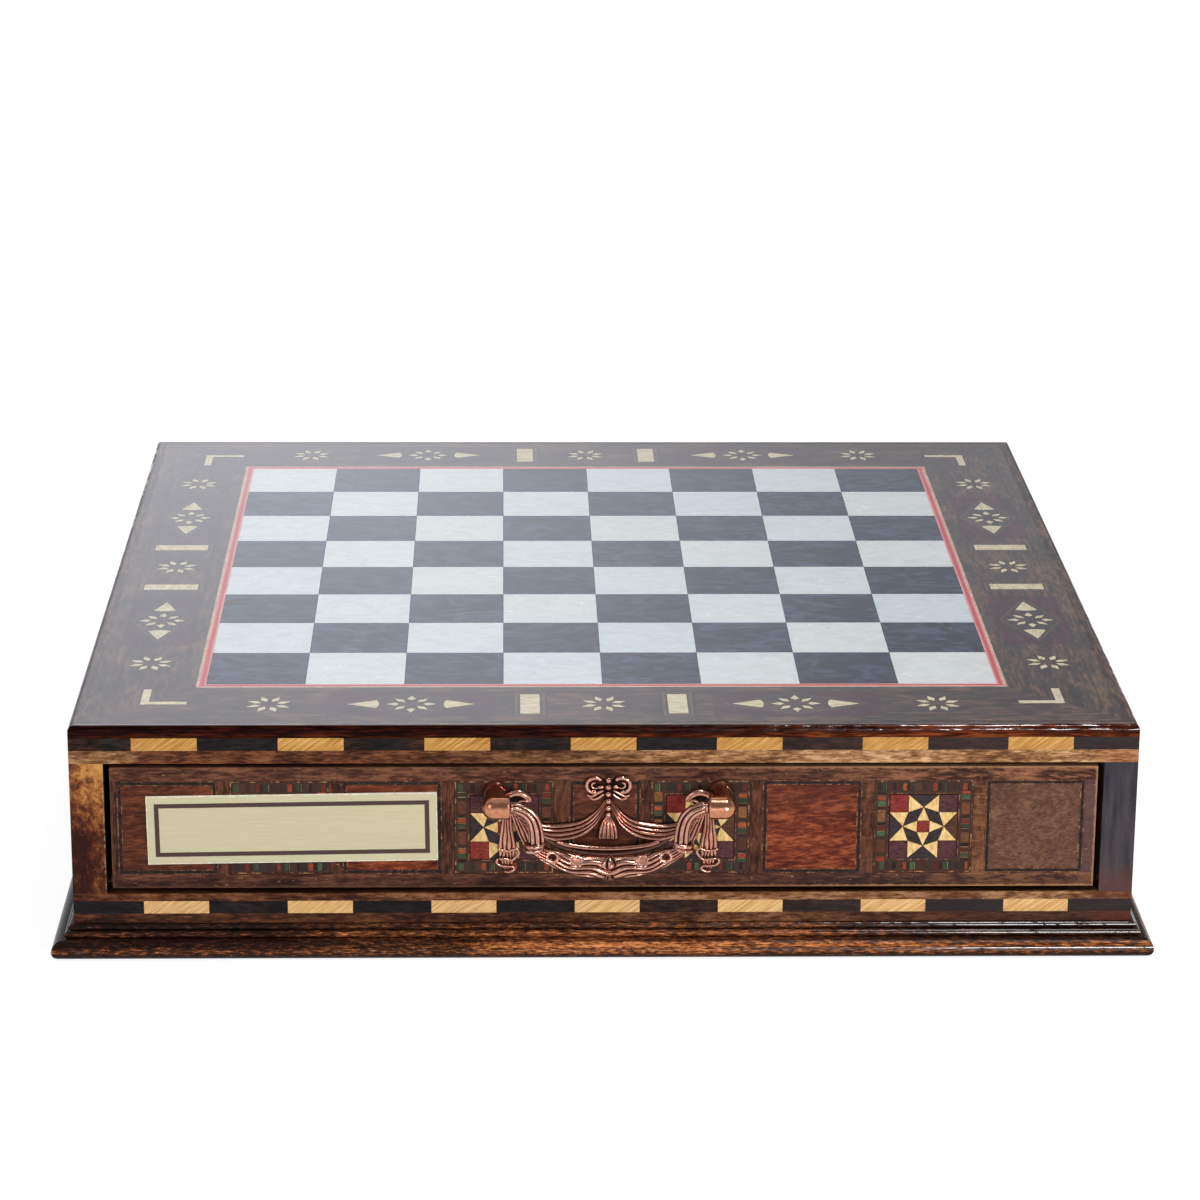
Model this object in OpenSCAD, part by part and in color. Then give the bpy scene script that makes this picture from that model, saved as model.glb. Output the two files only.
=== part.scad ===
// Chess box with two drawers: an inlaid board on a veneered case, one drawer at the front and one at the
// back, each with a drop handle. The origin is at the middle of the underside, +Z up, the front faces -Y.

/* [Chessboard] */
// Side of one chess square
square = 36; // [34:0.5:40]
// Border between the squares and the edge of the board
margin = 45.5; // [43:0.5:52]
// Thickness of the squares, the border veneer and every inlay in it
skin_t = 1.2; // [0.8:0.1:2]
// Glue line between neighbouring squares and chips
joint_gap = 0.1; // [0.05:0.05:0.3]
// Width of the red line round the squares
red_line_w = 2.6; // [1:0.1:3.5]
// Width of the pale line outside the red one
pale_line_w = 0.9; // [0.4:0.1:1.5]
// Thickness of the board under its veneer
board_t = 8; // [6:0.5:10]
// Width of the lipping round the board
lip_w = 5; // [3:0.5:7]
// Height of the lipping, as seen from the side
lip_h = 4.5; // [3.5:0.25:6]
// Radius of the lipping's upper edge
lip_r = 2; // [0.5:0.25:2.5]

/* [Border inlays] */
// Distance from the middle of a side to its outer stars
star_at = 120; // [116:0.5:126]
// Radius of an inlaid star
star_r = 8.6; // [6:0.1:10]
// Distance from the middle of a side to each diamond
diamond_at = 69; // [67:0.5:74]
// Length of the dark panel round a diamond
panel_l = 60; // [52:0.5:64]
// Width of the dark panel round a diamond
panel_w = 26.4; // [22:0.2:28]
// Distance from a diamond's middle to the tip of a spear
spear_tip = 23.7; // [21:0.1:25]
// Distance from a diamond's middle to the blunt end of a spear
spear_butt = 11.2; // [10.6:0.1:12]
// Width of a spear
spear_w = 9.4; // [5:0.2:12]
// Distance from the middle of a side to each bar
bar_at = 26.5; // [20:0.5:30]
// Width of a bar
bar_w = 7; // [3:0.5:9]
// Length of a bar
bar_l = 21; // [14:0.5:26]
// Length of a corner mark's arms
ell_l = 16.5; // [10:0.5:20]
// Width of a corner mark's arms
ell_w = 3; // [1:0.25:4]

/* [Case] */
// Thickness of the side walls
wall_t = 12; // [8:0.5:14]
// Thickness of the front and back rails behind their veneer
rail_t = 10; // [6:0.5:14]
// Thickness of the veneers and band blocks on the faces
face_t = 1; // [0.6:0.1:2]
// Height of the strip between the plinth and the lower band
base_strip_h = 3.6; // [2:0.1:8]
// Height of the two bands of blocks
band_h = 4.7; // [3:0.1:7]
// Height of the strip between the lower band and a drawer opening
sill_strip_h = 2.9; // [2:0.1:6]
// Height of a drawer opening
opening_h = 49.3; // [46:0.1:70]
// Height of the strip between a drawer opening and the upper band
head_strip_h = 4.8; // [4:0.05:9]
// Number of light blocks in a band
block_count = 7; // [3:2:7]
// Distance from one light block to the next in the upper band
block_pitch = 51.7; // [46:0.1:53]
// Distance from one light block to the next in the lower band
low_pitch = 51.3; // [46:0.1:53]
// How far the upper band's blocks sit to the right of the middle
top_shift = -0.6; // [-2:0.1:2]
// How far the lower band's blocks sit to the right of the middle
low_shift = 1.1; // [-2:0.1:2]
// Length of a light block
block_l = 23.2; // [12:0.1:32]
// Thickness of the bottom panel
bottom_t = 4; // [3:0.5:6]
// Thickness of the partition between the drawers
partition_t = 6; // [4:0.5:12]
// Thickness of the runners under the drawers
runner_t = 2.2; // [1.5:0.1:4]
// Width of the runners and kickers
runner_w = 12; // [8:0.5:20]

/* [Plinth] */
// How far the plinth stands out from the case
plinth_out = 7.75; // [6.5:0.25:12]
// Radius of the plinth's lowest round
nose_r = 3.5; // [2.5:0.1:4]
// Radius of the middle bead
mid_bead_r = 1.25; // [0.8:0.05:2]
// How far the middle bead's centre stands out
mid_bead_out = 2.1; // [1:0.1:3]
// Radius of the top bead
top_bead_r = 1.15; // [0.8:0.05:2]
// How far the top bead's centre stands out
top_bead_out = 0.7; // [0.2:0.1:1.5]

/* [Drawers] */
// Gap between a drawer front and each side of its opening
side_gap = 2.25; // [0.5:0.05:3]
// Gap above a drawer front
top_gap = 1.5; // [0.5:0.1:3]
// Gap under a drawer front
under_gap = 2.2; // [0.5:0.1:3]
// Gap between the drawer's sides and the runners
seat_gap = 0.3; // [0.1:0.05:0.4]
// Gap between a drawer's back and the partition
end_gap = 1.5; // [0.5:0.1:4]
// Thickness of the drawer front
front_t = 12; // [9:0.5:16]
// Thickness of the drawer sides and back
box_t = 7; // [5:0.5:10]
// How far the drawer sides stay below the top of the drawer front
box_drop = 6; // [2:0.5:12]
// Height of the drawer bottom's groove above the sides' lower edge
groove_up = 3; // [2:0.5:6]
// Depth of the groove
groove_d = 3; // [2:0.5:4]
// Thickness of the drawer bottom
floor_t = 3; // [2:0.5:5]
// Thickness of the felt in the drawer
felt_t = 1.2; // [0.8:0.1:2]
// Gap between the felt and the drawer's walls
felt_gap = 0.5; // [0.2:0.1:2]

/* [Drawer marquetry] */
// Depth of the inlays in a drawer front
inlay_t = 1.2; // [0.8:0.1:2]
// Distance from one square panel to the next
tile_pitch = 39.8; // [37:0.1:39.8]
// Distance from the middle to the first star tile
first_tile = 34; // [32:0.1:36]
// How much farther out the panels on the left sit
left_out = 1.8; // [0:0.1:2.2]
// Side of a star tile with its mosaic border
tile_w = 35.4; // [31:0.1:36]
// Side of the star inside the mosaic border
star_w = 24.2; // [18:0.1:27]
// Side of a plain panel with its line
panel_side = 34.4; // [30:0.1:36]
// Width of the middle panel with its line
mid_panel_w = 24.4; // [18:0.1:26]
// Width of the black line round a plain panel
line_w = 0.9; // [0.5:0.1:2]
// Side of a star's corner squares
corner_sq = 6.7; // [4:0.1:8]
// Depth of the notches between the star's points
notch_d = 4.8; // [3:0.1:6]
// Share of its size that a star chip keeps beside its glue lines
chip_share = 0.96; // [0.9:0.01:0.98]
// Side of the star's middle square
core_sq = 4.4; // [2:0.1:6]

/* [Name plate] */
// Length of the name plate
name_l = 103; // [60:1:106]
// Height of the name plate
name_h = 25.6; // [14:0.2:32]
// Thickness of the name plate
name_t = 0.8; // [0.4:0.1:2]
// Distance of the name plate's middle from the drawer's middle
name_at = 111; // [105:0.5:114]
// Turn of the name plate, in degrees
name_turn = 0.8; // [-2:0.1:2]

/* [Handle] */
// Distance between the two posts
post_spacing = 80; // [70:1:90]
// How far the handle sits to the right of the drawer's middle
handle_at = 1.2; // [-2:0.1:2]
// Distance from the top of the drawer front to the bail's axis
pivot_drop = 9.75; // [8:0.25:14]
// Distance from the drawer front to the bail's axis
pivot_out = 15; // [13:0.5:20]
// Radius of a post's barrel
barrel_r = 4.15; // [3.5:0.05:5]
// How far a barrel reaches from its post's axis towards the bail
barrel_in = 4.95; // [4:0.05:6]
// Length of a barrel's straight part
barrel_l = 5.65; // [5:0.05:8]
// Radius of a post's stem
stem_r = 3.9; // [3:0.1:4]
// Radius of a post's foot on the backplate
foot_r = 5.4; // [4.5:0.1:7]
// Thickness of the backplate
plate_t = 2.2; // [1.5:0.1:3]
// Radius of the bail's pins
pin_r = 1.25; // [0.8:0.05:1.5]
// Radial clearance of the pins in the posts
pin_fit = 0.05; // [0.02:0.01:0.08]
// Length of the pins inside the posts
pin_in = 4.5; // [3:0.1:5]
// Visible length of the pins
neck_l = 2.25; // [1:0.05:3]
// Radius of the bail's arms
arm_r = 2.6; // [2:0.1:3]
// Radius of the arms' bend
bend_r = 7.2; // [6:0.1:9]
// Depth of the garland's ends below the axis
arm_drop = 15; // [13:0.25:18]
// Depth of the bail's lowest point below the axis
bail_drop = 26.6; // [25:0.2:29]
// Height of the garland at its middle
garland_h = 8; // [6:0.1:9.5]
// Thickness of the garland
garland_t = 5; // [3:0.25:6]
// How far the garland's ends reach outside the arms' axes
end_out = 4.6; // [3:0.1:5]
// How far the garland's ends reach inside the arms' axes
end_in = 3.1; // [2.5:0.1:4]
// Distance of the garland's holes from its middle
hole_at = 20.3; // [16:0.1:21]
// Depth of the garland's holes below the axis
hole_drop = 18; // [17.5:0.1:19.5]
// Radius of the garland's holes
hole_r = 1.35; // [0.8:0.05:1.5]
// Radius of the bud on the garland's middle
bud_r = 2.8; // [2:0.1:3.5]
// Radius of the ring where an arm meets the garland
ring_r = 1.5; // [1:0.1:2]
// Radius of each loop of the backplate's bow
bow_r = 4.4; // [3:0.1:5]
// Distance of the bow's loops from the middle
bow_at = 4.6; // [3:0.1:5]
// Height of the bow's middle above the axis
bow_up = 1.9; // [1:0.1:3]
// Radius of the beads on the backplate
bead_r = 0.95; // [0.6:0.05:1.2]
// Radius of the handle's screws
screw_r = 1.9; // [1.5:0.1:2.2]
// Slack round the screws where they pass through
screw_slack = 0.3; // [0.1:0.05:0.6]
// Radius of the screw heads
head_r = 3.6; // [3:0.1:5]
// Height of the screw heads
head_h = 2.2; // [1.5:0.1:3]
// Depth of the screws in the posts
screw_in = 6.5; // [4:0.5:8]

/* [Hidden] */
$fn = 48;
over = 1; // how far a cutting solid runs past the face it cuts
end_slack = 0.3; // how much deeper a blind bore is than what sits in it

// Plan sizes, measured from the middle of the board.
files = 8;
field = files * square / 2;
half = field + margin;
lines_out = field + red_line_w + pale_line_w;
veneer_out = half - lip_w;
motif_row = (veneer_out + lines_out) / 2;
wall_in = half - wall_t;
rail_out = half - face_t;
rail_in = rail_out - rail_t;

// Heights above the table.
plinth_h = 2 * (nose_r + mid_bead_r + top_bead_r);
low_band_z = plinth_h + base_strip_h;
sill_strip_z = low_band_z + band_h;
sill_z = sill_strip_z + sill_strip_h;
head_z = sill_z + opening_h;
top_band_z = head_z + head_strip_h;
case_z = top_band_z + band_h;
top_z = case_z + lip_h;
skin_z = top_z - skin_t;
board_z = skin_z - board_t;
floor_z = sill_z - runner_t;

// Drawer sizes. The front drawer is drawn here and the back one is the same, turned half a turn.
drawer_w = wall_in - side_gap;
front_z = sill_z + under_gap;
front_top = head_z - top_gap;
front_mid = (front_z + front_top) / 2;
front_back = -half + front_t;
box_z = sill_z + seat_gap;
box_top = front_top - box_drop;
box_in = drawer_w - box_t;
box_end = -partition_t / 2 - end_gap;
groove_z = box_z + groove_up;
lay_z = groove_z + floor_t;

// Handle sizes.
post_x = post_spacing / 2;
pivot_z = front_top - pivot_drop;
pivot_y = -half - pivot_out;
plate_y = -half - plate_t;
barrel_x = post_x - barrel_in;
arm_start = barrel_x - neck_l;
arm_x = arm_start - bend_r;
outer_chord = arm_x + end_out;
inner_chord = arm_x - end_in;
outer_sag = bail_drop - arm_drop;
inner_sag = outer_sag - garland_h;

// Chips of the border's stars: inner tip, widest place, outer tip and width, as shares of the radius.
lone_chip = [0.33, 0.6, 1, 0.33];
long_chip = [0.32, 0.62, 1, 0.31];
short_chip = [0.49, 0.66, 1.06, 0.38];
lone_turn = 20;
spear_round = 1.1;

// Chips of a star tile, drawn for its upper side: the light points and the dark ground between them.
star_half = star_w / 2;
star_in = star_half - corner_sq;
core = core_sq / 2;
notch = [0, star_half - notch_d];
point_chips = [
    [[-star_in, star_half], [-star_in, star_in], notch],
    [[star_in, star_half], [star_in, star_in], notch],
    [notch, [-core, core], [core, core]]
];
ground_chips = [
    [[-star_in, star_half], [star_in, star_half], notch],
    [notch, [star_in, star_in], [star_half - notch_d, 0], [core, core]],
    [[star_half, star_half], [star_half, star_in], [star_in, star_in], [star_in, star_half]]
];

// The backplate's outline from its middle to one post: [share of the way to the post, height over the axis].
drape_top = [[0, 0], [0.05, -2], [0.14, -6.7], [0.27, -9.7], [0.4, -11.2], [0.58, -11.4], [0.74, -9.2], [0.88, -4]];
drape_low = [[0.96, -2], [0.9, -7], [0.82, -13], [0.7, -18], [0.45, -19.2], [0.24, -21], [0, -21.8]];
window = [[0, -10], [0.11, -13.5], [0.2, -16.8], [0.34, -18.4], [0.22, -19.4], [0, -20.2]];
tassel = [[-0.02, -8.5], [0.02, -8.5], [0.04, -13], [0.09, -16.8], [0, -17.4], [-0.02, -17.4]];
jabot = [[0.86, -4], [0.97, -4], [0.98, -20], [0.96, -28.5], [0.85, -29], [0.8, -20]];
bead_heights = [5.1, 2.5, -0.1, -2.7, -5.2, -7.7];

function arc_r(chord, sag) = (chord * chord + sag * sag) / (2 * sag);
function middle(points) = [for (k = [0, 1]) [for (p = points) p[k]] * [for (p = points) 1] / len(points)];
function trimmed(points, share) = [for (p = points) middle(points) + share * (p - middle(points))];
function spread(points) = [for (p = points) [p[0] * post_x, p[1]]];

// A box between two opposite corners.
module block(low, high) {
    translate(low) cube(high - low);
}

// A square frame in plan, between two half widths.
module frame_2d(inner, outer) {
    difference() {
        square(2 * outer, center = true);
        square(2 * inner, center = true);
    }
}

// Turns what is drawn for the front half a turn, to the back.
module facing(back) {
    rotate([0, 0, back ? 180 : 0]) children();
}

// Stands a plan shape up on the front: x stays, y becomes z, and the thickness goes from y0 to y1.
module on_front(y0, y1) {
    translate([0, y1, 0]) rotate([90, 0, 0]) linear_extrude(y1 - y0) children();
}

// Copies what is drawn on the front border to all four borders.
module four_sides() {
    for (turn = [0:3]) rotate(90 * turn) children();
}

// ---- Case ----

module side_wall(side) {
    color("saddlebrown") difference() {
        mirror([side < 0 ? 1 : 0, 0, 0]) block([wall_in, -rail_out, 0], [half, rail_out, case_z]);
        for (z = [low_band_z, top_band_z])
            mirror([side < 0 ? 1 : 0, 0, 0])
                block([half - face_t, -rail_out - over, z], [half + over, rail_out + over, z + band_h]);
    }
}

module rail(back, low, high) {
    color("saddlebrown") facing(back) block([-wall_in, -rail_out, low], [wall_in, -rail_in, high]);
}

// The three long strips on each face: under the lower band, over it, and over the openings.
module face_strips() {
    color("sienna") for (back = [false, true], z = [[0, low_band_z], [sill_strip_z, sill_z], [head_z, top_band_z]])
        facing(back) block([-half, -half, z[0]], [half, -rail_out, z[1]]);
}

module corner_veneers() {
    color("peru") for (back = [false, true], side = [0, 1])
        facing(back) mirror([side, 0, 0]) block([wall_in, -half, sill_z], [half, -rail_out, head_z]);
}

// A band is its height above the table, the pitch of its light blocks and how far they sit to the right.
bands = [[low_band_z, low_pitch, low_shift], [top_band_z, block_pitch, top_shift]];

// One face's blocks as intervals along x: the light ones, or the dark ones between them, out to both ends.
function light_ends(band) = [for (k = [0:block_count - 1])
    [for (e = [-1, 1]) band[2] + (k - (block_count - 1) / 2) * band[1] + e * block_l / 2]];
function dark_ends(light, reach) = [for (k = [0:block_count])
    [k == 0 ? -reach : light[k - 1][1], k == block_count ? reach : light[k][0]]];

module band_blocks(band, front_ends, side_ends) {
    for (back = [false, true]) facing(back) translate([0, 0, band[0]]) {
        for (e = front_ends) block([e[0], -half, 0], [e[1], -rail_out, band_h]);
        for (e = side_ends) block([half - face_t, e[0], 0], [half, e[1], band_h]);
    }
}

module light_band_blocks() {
    color("burlywood") for (band = bands) band_blocks(band, light_ends(band), light_ends(band));
}

module dark_band_blocks() {
    color("#241c18") for (band = bands)
        band_blocks(band, dark_ends(light_ends(band), half), dark_ends(light_ends(band), rail_out));
}

module bottom_panel() {
    color("tan") block([-wall_in, -rail_in, floor_z - bottom_t], [wall_in, rail_in, floor_z]);
}

module centre_partition() {
    color("tan") block([-wall_in, -partition_t / 2, floor_z], [wall_in, partition_t / 2, board_z]);
}

module bearers(low, high) {
    for (back = [false, true], side = [0, 1]) facing(back) mirror([side, 0, 0])
        block([wall_in - runner_w, -rail_in, low], [wall_in, -partition_t / 2, high]);
}

module drawer_runners() {
    color("wheat") bearers(floor_z, sill_z);
}

module drawer_kickers() {
    color("wheat") bearers(head_z, board_z);
}

// ---- Plinth and lipping: a profile along the front, mitred at both ends ----

module mitred(outer, inner, height) {
    intersection() {
        translate([-outer, -inner, 0]) rotate([90, 0, 90]) linear_extrude(2 * outer) children();
        linear_extrude(height)
            polygon([[-outer, -outer], [outer, -outer], [inner, -inner], [-inner, -inner]]);
    }
}

module plinth_profile() {
    rounds = [
        [nose_r, plinth_out - nose_r, nose_r],
        [mid_bead_r, mid_bead_out, 2 * nose_r + mid_bead_r],
        [top_bead_r, top_bead_out, 2 * (nose_r + mid_bead_r) + top_bead_r]
    ];
    for (b = rounds) {
        translate([-b[1], b[2]]) circle(b[0]);
        translate([-b[1], b[2] - b[0]]) square([b[1], 2 * b[0]]);
    }
}

module plinth(turn) {
    color("#3b2216") rotate([0, 0, 90 * turn]) mitred(half + plinth_out, half, plinth_h) plinth_profile();
}

module lip_profile() {
    translate([-lip_w, 0]) square([lip_w, lip_h - lip_r]);
    translate([-lip_w + lip_r, 0]) square([lip_w - lip_r, lip_h]);
    translate([-lip_w + lip_r, lip_h - lip_r]) circle(lip_r);
}

module top_lipping() {
    color("#4a1f12") translate([0, 0, case_z]) for (turn = [0:3]) rotate([0, 0, 90 * turn])
        mitred(half, half - lip_w, lip_h) lip_profile();
}

// ---- Board ----

module top_board() {
    color("tan") {
        block([-veneer_out, -veneer_out, case_z], [veneer_out, veneer_out, skin_z]);
        block([-wall_in, -rail_in, board_z], [wall_in, rail_in, case_z]);
    }
}

module skin() {
    translate([0, 0, skin_z]) linear_extrude(skin_t) children();
}

module squares(parity) {
    for (i = [0:files - 1], j = [0:files - 1]) if ((i + j) % 2 == parity)
        translate([(i + 0.5) * square - field, (j + 0.5) * square - field])
            square(square - joint_gap, center = true);
}

module light_squares() {
    color("#dfe4e6") skin() squares(1);
}

module dark_squares() {
    color("#66717c") skin() squares(0);
}

module red_stringing() {
    color("indianred") skin() frame_2d(field, field + red_line_w);
}

module pale_stringing() {
    color("wheat") skin() frame_2d(field + red_line_w, lines_out);
}

// A chip of a star: a kite from its inner tip over its widest place to its outer tip.
module kite(chip) {
    polygon(star_r * [[chip[0], 0], [chip[1], -chip[3] / 2], [chip[2], 0], [chip[1], chip[3] / 2]]);
}

module lone_star_2d() {
    for (k = [0:7]) rotate(lone_turn + 45 * k) kite(lone_chip);
}

// The star in a diamond has short chips along the border and across it, and long ones between them.
module diamond_star_2d() {
    for (k = [0:3]) rotate(90 * k) {
        kite(short_chip);
        rotate(45) kite(long_chip);
    }
}

module spears_2d() {
    side = [
        [spear_tip, 0],
        [spear_butt + spear_round, spear_w / 2],
        [spear_butt + spear_round / 4, spear_w / 4],
        [spear_butt, 0]
    ];
    for (flip = [0, 1]) mirror([flip, 0]) {
        polygon(side);
        mirror([0, 1]) polygon(side);
    }
}

module at_motifs(places) {
    four_sides() for (x = places) translate([x, -motif_row]) children();
}

module stars_2d() {
    at_motifs([-star_at, 0, star_at]) lone_star_2d();
    at_motifs([-diamond_at, diamond_at]) diamond_star_2d();
}

module bars_2d() {
    at_motifs([-bar_at, bar_at]) square([bar_w, bar_l], center = true);
    four_sides() translate([-motif_row, -motif_row]) {
        square([ell_l, ell_w]);
        square([ell_w, ell_l]);
    }
}

module panels_2d() {
    at_motifs([-diamond_at, diamond_at]) square([panel_l, panel_w], center = true);
}

module border_veneer() {
    color("#5d4438") skin() difference() {
        frame_2d(lines_out, veneer_out);
        panels_2d();
        at_motifs([-star_at, 0, star_at]) lone_star_2d();
        bars_2d();
    }
}

module diamond_panels() {
    color("#3c2a30") skin() difference() {
        panels_2d();
        at_motifs([-diamond_at, diamond_at]) diamond_star_2d();
        at_motifs([-diamond_at, diamond_at]) spears_2d();
    }
}

module star_inlays() {
    color("ivory") skin() stars_2d();
}

module spear_inlays() {
    color("ivory") skin() at_motifs([-diamond_at, diamond_at]) spears_2d();
}

module bar_inlays() {
    color("ivory") skin() bars_2d();
}

// ---- Drawers ----

// Middle of each square panel of a drawer front, counted outwards: star tiles are even, plain ones odd.
function tile_x(side, k) = side * (first_tile + k * tile_pitch + (side < 0 ? left_out : 0));

module at_tiles(counts) {
    for (side = [-1, 1], k = counts) translate([tile_x(side, k), front_mid]) children();
}

module plain_panels_2d(cut) {
    at_tiles([1, 3]) square(panel_side - 2 * cut, center = true);
    translate([0, front_mid]) square([mid_panel_w - 2 * cut, panel_side - 2 * cut], center = true);
}

// What the handle's screws pass through is drilled for them.
module drilled() {
    difference() {
        children();
        for (x = [-post_x, post_x]) translate([handle_at + x, plate_y - over, pivot_z]) rotate([-90, 0, 0])
            cylinder(r = screw_r + screw_slack, h = plate_t + front_t + 2 * over);
    }
}

module drawer_front(back) {
    color("#5a3423") facing(back) drilled() difference() {
        block([-drawer_w, -half, front_z], [drawer_w, front_back, front_top]);
        on_front(-half - over, -half + inlay_t) {
            plain_panels_2d(0);
            at_tiles([0, 2]) square(tile_w, center = true);
        }
        block([-box_in - groove_d, front_back - groove_d, groove_z], [box_in + groove_d, front_back + over, lay_z]);
    }
}

module drawer_panels(back) {
    color("#7a3b22") facing(back) on_front(-half, -half + inlay_t) plain_panels_2d(line_w);
}

module drawer_lines(back) {
    color("#17110f") facing(back) on_front(-half, -half + inlay_t) difference() {
        plain_panels_2d(0);
        plain_panels_2d(line_w);
    }
}

module mosaic_borders(back) {
    color("#4b4a2c") facing(back) drilled() on_front(-half, -half + inlay_t) at_tiles([0, 2]) difference() {
        square(tile_w, center = true);
        square(star_w, center = true);
    }
}

module star_chips(chips) {
    at_tiles([0, 2]) for (turn = [0:3], c = chips) rotate(90 * turn) polygon(trimmed(c, chip_share));
}

module star_points(back) {
    color("ivory") facing(back) drilled() on_front(-half, -half + inlay_t) star_chips(point_chips);
}

module star_ground(back) {
    color("#3a2028") facing(back) drilled() on_front(-half, -half + inlay_t) {
        star_chips(ground_chips);
        at_tiles([0, 2]) square(chip_share * core_sq, center = true);
    }
}

module drawer_side(back, side) {
    color("burlywood") facing(back) mirror([side < 0 ? 1 : 0, 0, 0]) difference() {
        block([box_in, front_back, box_z], [drawer_w, box_end, box_top]);
        block([box_in - over, front_back - over, groove_z], [box_in + groove_d, box_end + over, lay_z]);
    }
}

module drawer_back(back) {
    color("burlywood") facing(back) block([-box_in, box_end - box_t, lay_z], [box_in, box_end, box_top]);
}

module drawer_bottom(back) {
    color("wheat") facing(back)
        block([-box_in - groove_d, front_back - groove_d, groove_z], [box_in + groove_d, box_end, lay_z]);
}

module drawer_felt(back) {
    color("darkred") facing(back) block(
        [-box_in + felt_gap, front_back + felt_gap, lay_z],
        [box_in - felt_gap, box_end - box_t - felt_gap, lay_z + felt_t]
    );
}

module name_plate() {
    color("#d3ceab") translate([-name_at, 0, front_mid]) rotate([0, -name_turn, 0])
        block([-name_l / 2, -half - name_t, -name_h / 2], [name_l / 2, -half, name_h / 2]);
}

// ---- Handle ----

module at_handle(back) {
    facing(back) translate([handle_at, 0, 0]) children();
}

module both_ways() {
    children();
    mirror([1, 0]) children();
}

module handle_plate_2d() {
    both_ways() {
        difference() {
            polygon(spread(concat(drape_top, drape_low)));
            polygon(spread(window));
        }
        polygon(spread(tassel));
        polygon(spread(jabot));
        translate([bow_at, bow_up]) circle(bow_r);
        translate([post_x, 0]) circle(foot_r);
    }
    hanging = bead_heights[0] - bead_heights[len(bead_heights) - 1];
    translate([-bead_r, bead_heights[0] - hanging]) square([2 * bead_r, hanging]);
}

module handle_plate(back) {
    color("#a8674d") facing(back) drilled() {
        on_front(plate_y, -half) translate([handle_at, pivot_z]) handle_plate_2d();
        for (z = bead_heights) translate([handle_at, plate_y, pivot_z + z]) sphere(bead_r);
    }
}

module handle_posts(back) {
    color("#b5704f") at_handle(back) for (side = [0, 1]) mirror([side, 0, 0]) difference() {
        union() {
            translate([post_x, pivot_y, pivot_z]) rotate([-90, 0, 0]) cylinder(r = stem_r, h = pivot_out - plate_t);
            translate([barrel_x, pivot_y, pivot_z]) rotate([0, 90, 0]) cylinder(r = barrel_r, h = barrel_l);
            translate([barrel_x + barrel_l, pivot_y, pivot_z]) sphere(barrel_r);
        }
        translate([barrel_x - over, pivot_y, pivot_z]) rotate([0, 90, 0])
            cylinder(r = pin_r + pin_fit, h = pin_in + end_slack + over);
        translate([post_x, plate_y - screw_in - end_slack, pivot_z]) rotate([-90, 0, 0])
            cylinder(r = screw_r + pin_fit, h = screw_in + end_slack + over);
    }
}

module handle_screws(back) {
    color("silver") at_handle(back) for (x = [-post_x, post_x]) translate([x, 0, pivot_z]) rotate([-90, 0, 0]) {
        translate([0, 0, plate_y - screw_in]) cylinder(r = screw_r, h = front_back - plate_y + screw_in + head_h);
        translate([0, 0, front_back]) cylinder(r = head_r, h = head_h);
    }
}

// The bail's garland, seen from the front with the axis at the origin: the space between two arcs.
module garland_2d() {
    difference() {
        translate([0, arc_r(outer_chord, outer_sag) - bail_drop]) circle(arc_r(outer_chord, outer_sag));
        translate([0, arc_r(inner_chord, inner_sag) - arm_drop - inner_sag]) circle(arc_r(inner_chord, inner_sag));
        translate([-2 * outer_chord, -arm_drop]) square([4 * outer_chord, 4 * outer_chord]);
        for (x = [-hole_at, hole_at]) translate([x, -hole_drop]) circle(hole_r);
    }
}

module bail(back) {
    color("#a8674d") at_handle(back) translate([0, pivot_y, pivot_z]) {
        on_front(-garland_t / 2, garland_t / 2) garland_2d();
        translate([0, -garland_t / 2, garland_h / 2 - bail_drop]) sphere(bud_r);
        for (side = [0, 1]) mirror([side, 0, 0]) {
            translate([arm_start, 0, 0]) rotate([0, 90, 0]) cylinder(r = pin_r, h = neck_l + pin_in);
            translate([arm_start, 0, -bend_r]) rotate([90, 0, 0]) rotate([0, 0, 90])
                rotate_extrude(angle = 90) translate([bend_r, 0]) circle(arm_r);
            translate([arm_x, 0, -arm_drop]) cylinder(r = arm_r, h = arm_drop - bend_r);
            translate([arm_x, 0, -arm_drop]) rotate_extrude() {
                translate([arm_r, 0]) circle(ring_r);
                translate([0, -ring_r]) square([arm_r, 2 * ring_r]);
            }
        }
    }
}

side_wall(-1);  // left_side
side_wall(1);  // right_side
rail(false, head_z, case_z);  // front_top_rail
rail(false, 0, sill_z);  // front_bottom_rail
rail(true, head_z, case_z);  // back_top_rail
rail(true, 0, sill_z);  // back_bottom_rail
face_strips();
corner_veneers();
light_band_blocks();
dark_band_blocks();
bottom_panel();
centre_partition();
drawer_runners();
drawer_kickers();
plinth(0);  // front_plinth
plinth(2);  // back_plinth
plinth(3);  // left_plinth
plinth(1);  // right_plinth
top_board();
top_lipping();
border_veneer();
diamond_panels();
light_squares();
dark_squares();
red_stringing();
pale_stringing();
star_inlays();
spear_inlays();
bar_inlays();
drawer_front(false);  // front_drawer_front
drawer_side(false, -1);  // front_drawer_left_side
drawer_side(false, 1);  // front_drawer_right_side
drawer_back(false);  // front_drawer_back
drawer_bottom(false);  // front_drawer_bottom
drawer_felt(false);  // front_drawer_felt
drawer_panels(false);  // front_drawer_panels
drawer_lines(false);  // front_drawer_lines
mosaic_borders(false);  // front_mosaic_borders
star_points(false);  // front_star_points
star_ground(false);  // front_star_ground
handle_plate(false);  // front_handle_plate
handle_posts(false);  // front_handle_posts
handle_screws(false);  // front_handle_screws
bail(false);  // front_bail
name_plate();
drawer_front(true);  // back_drawer_front
drawer_side(true, -1);  // back_drawer_left_side
drawer_side(true, 1);  // back_drawer_right_side
drawer_back(true);  // back_drawer_back
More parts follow.
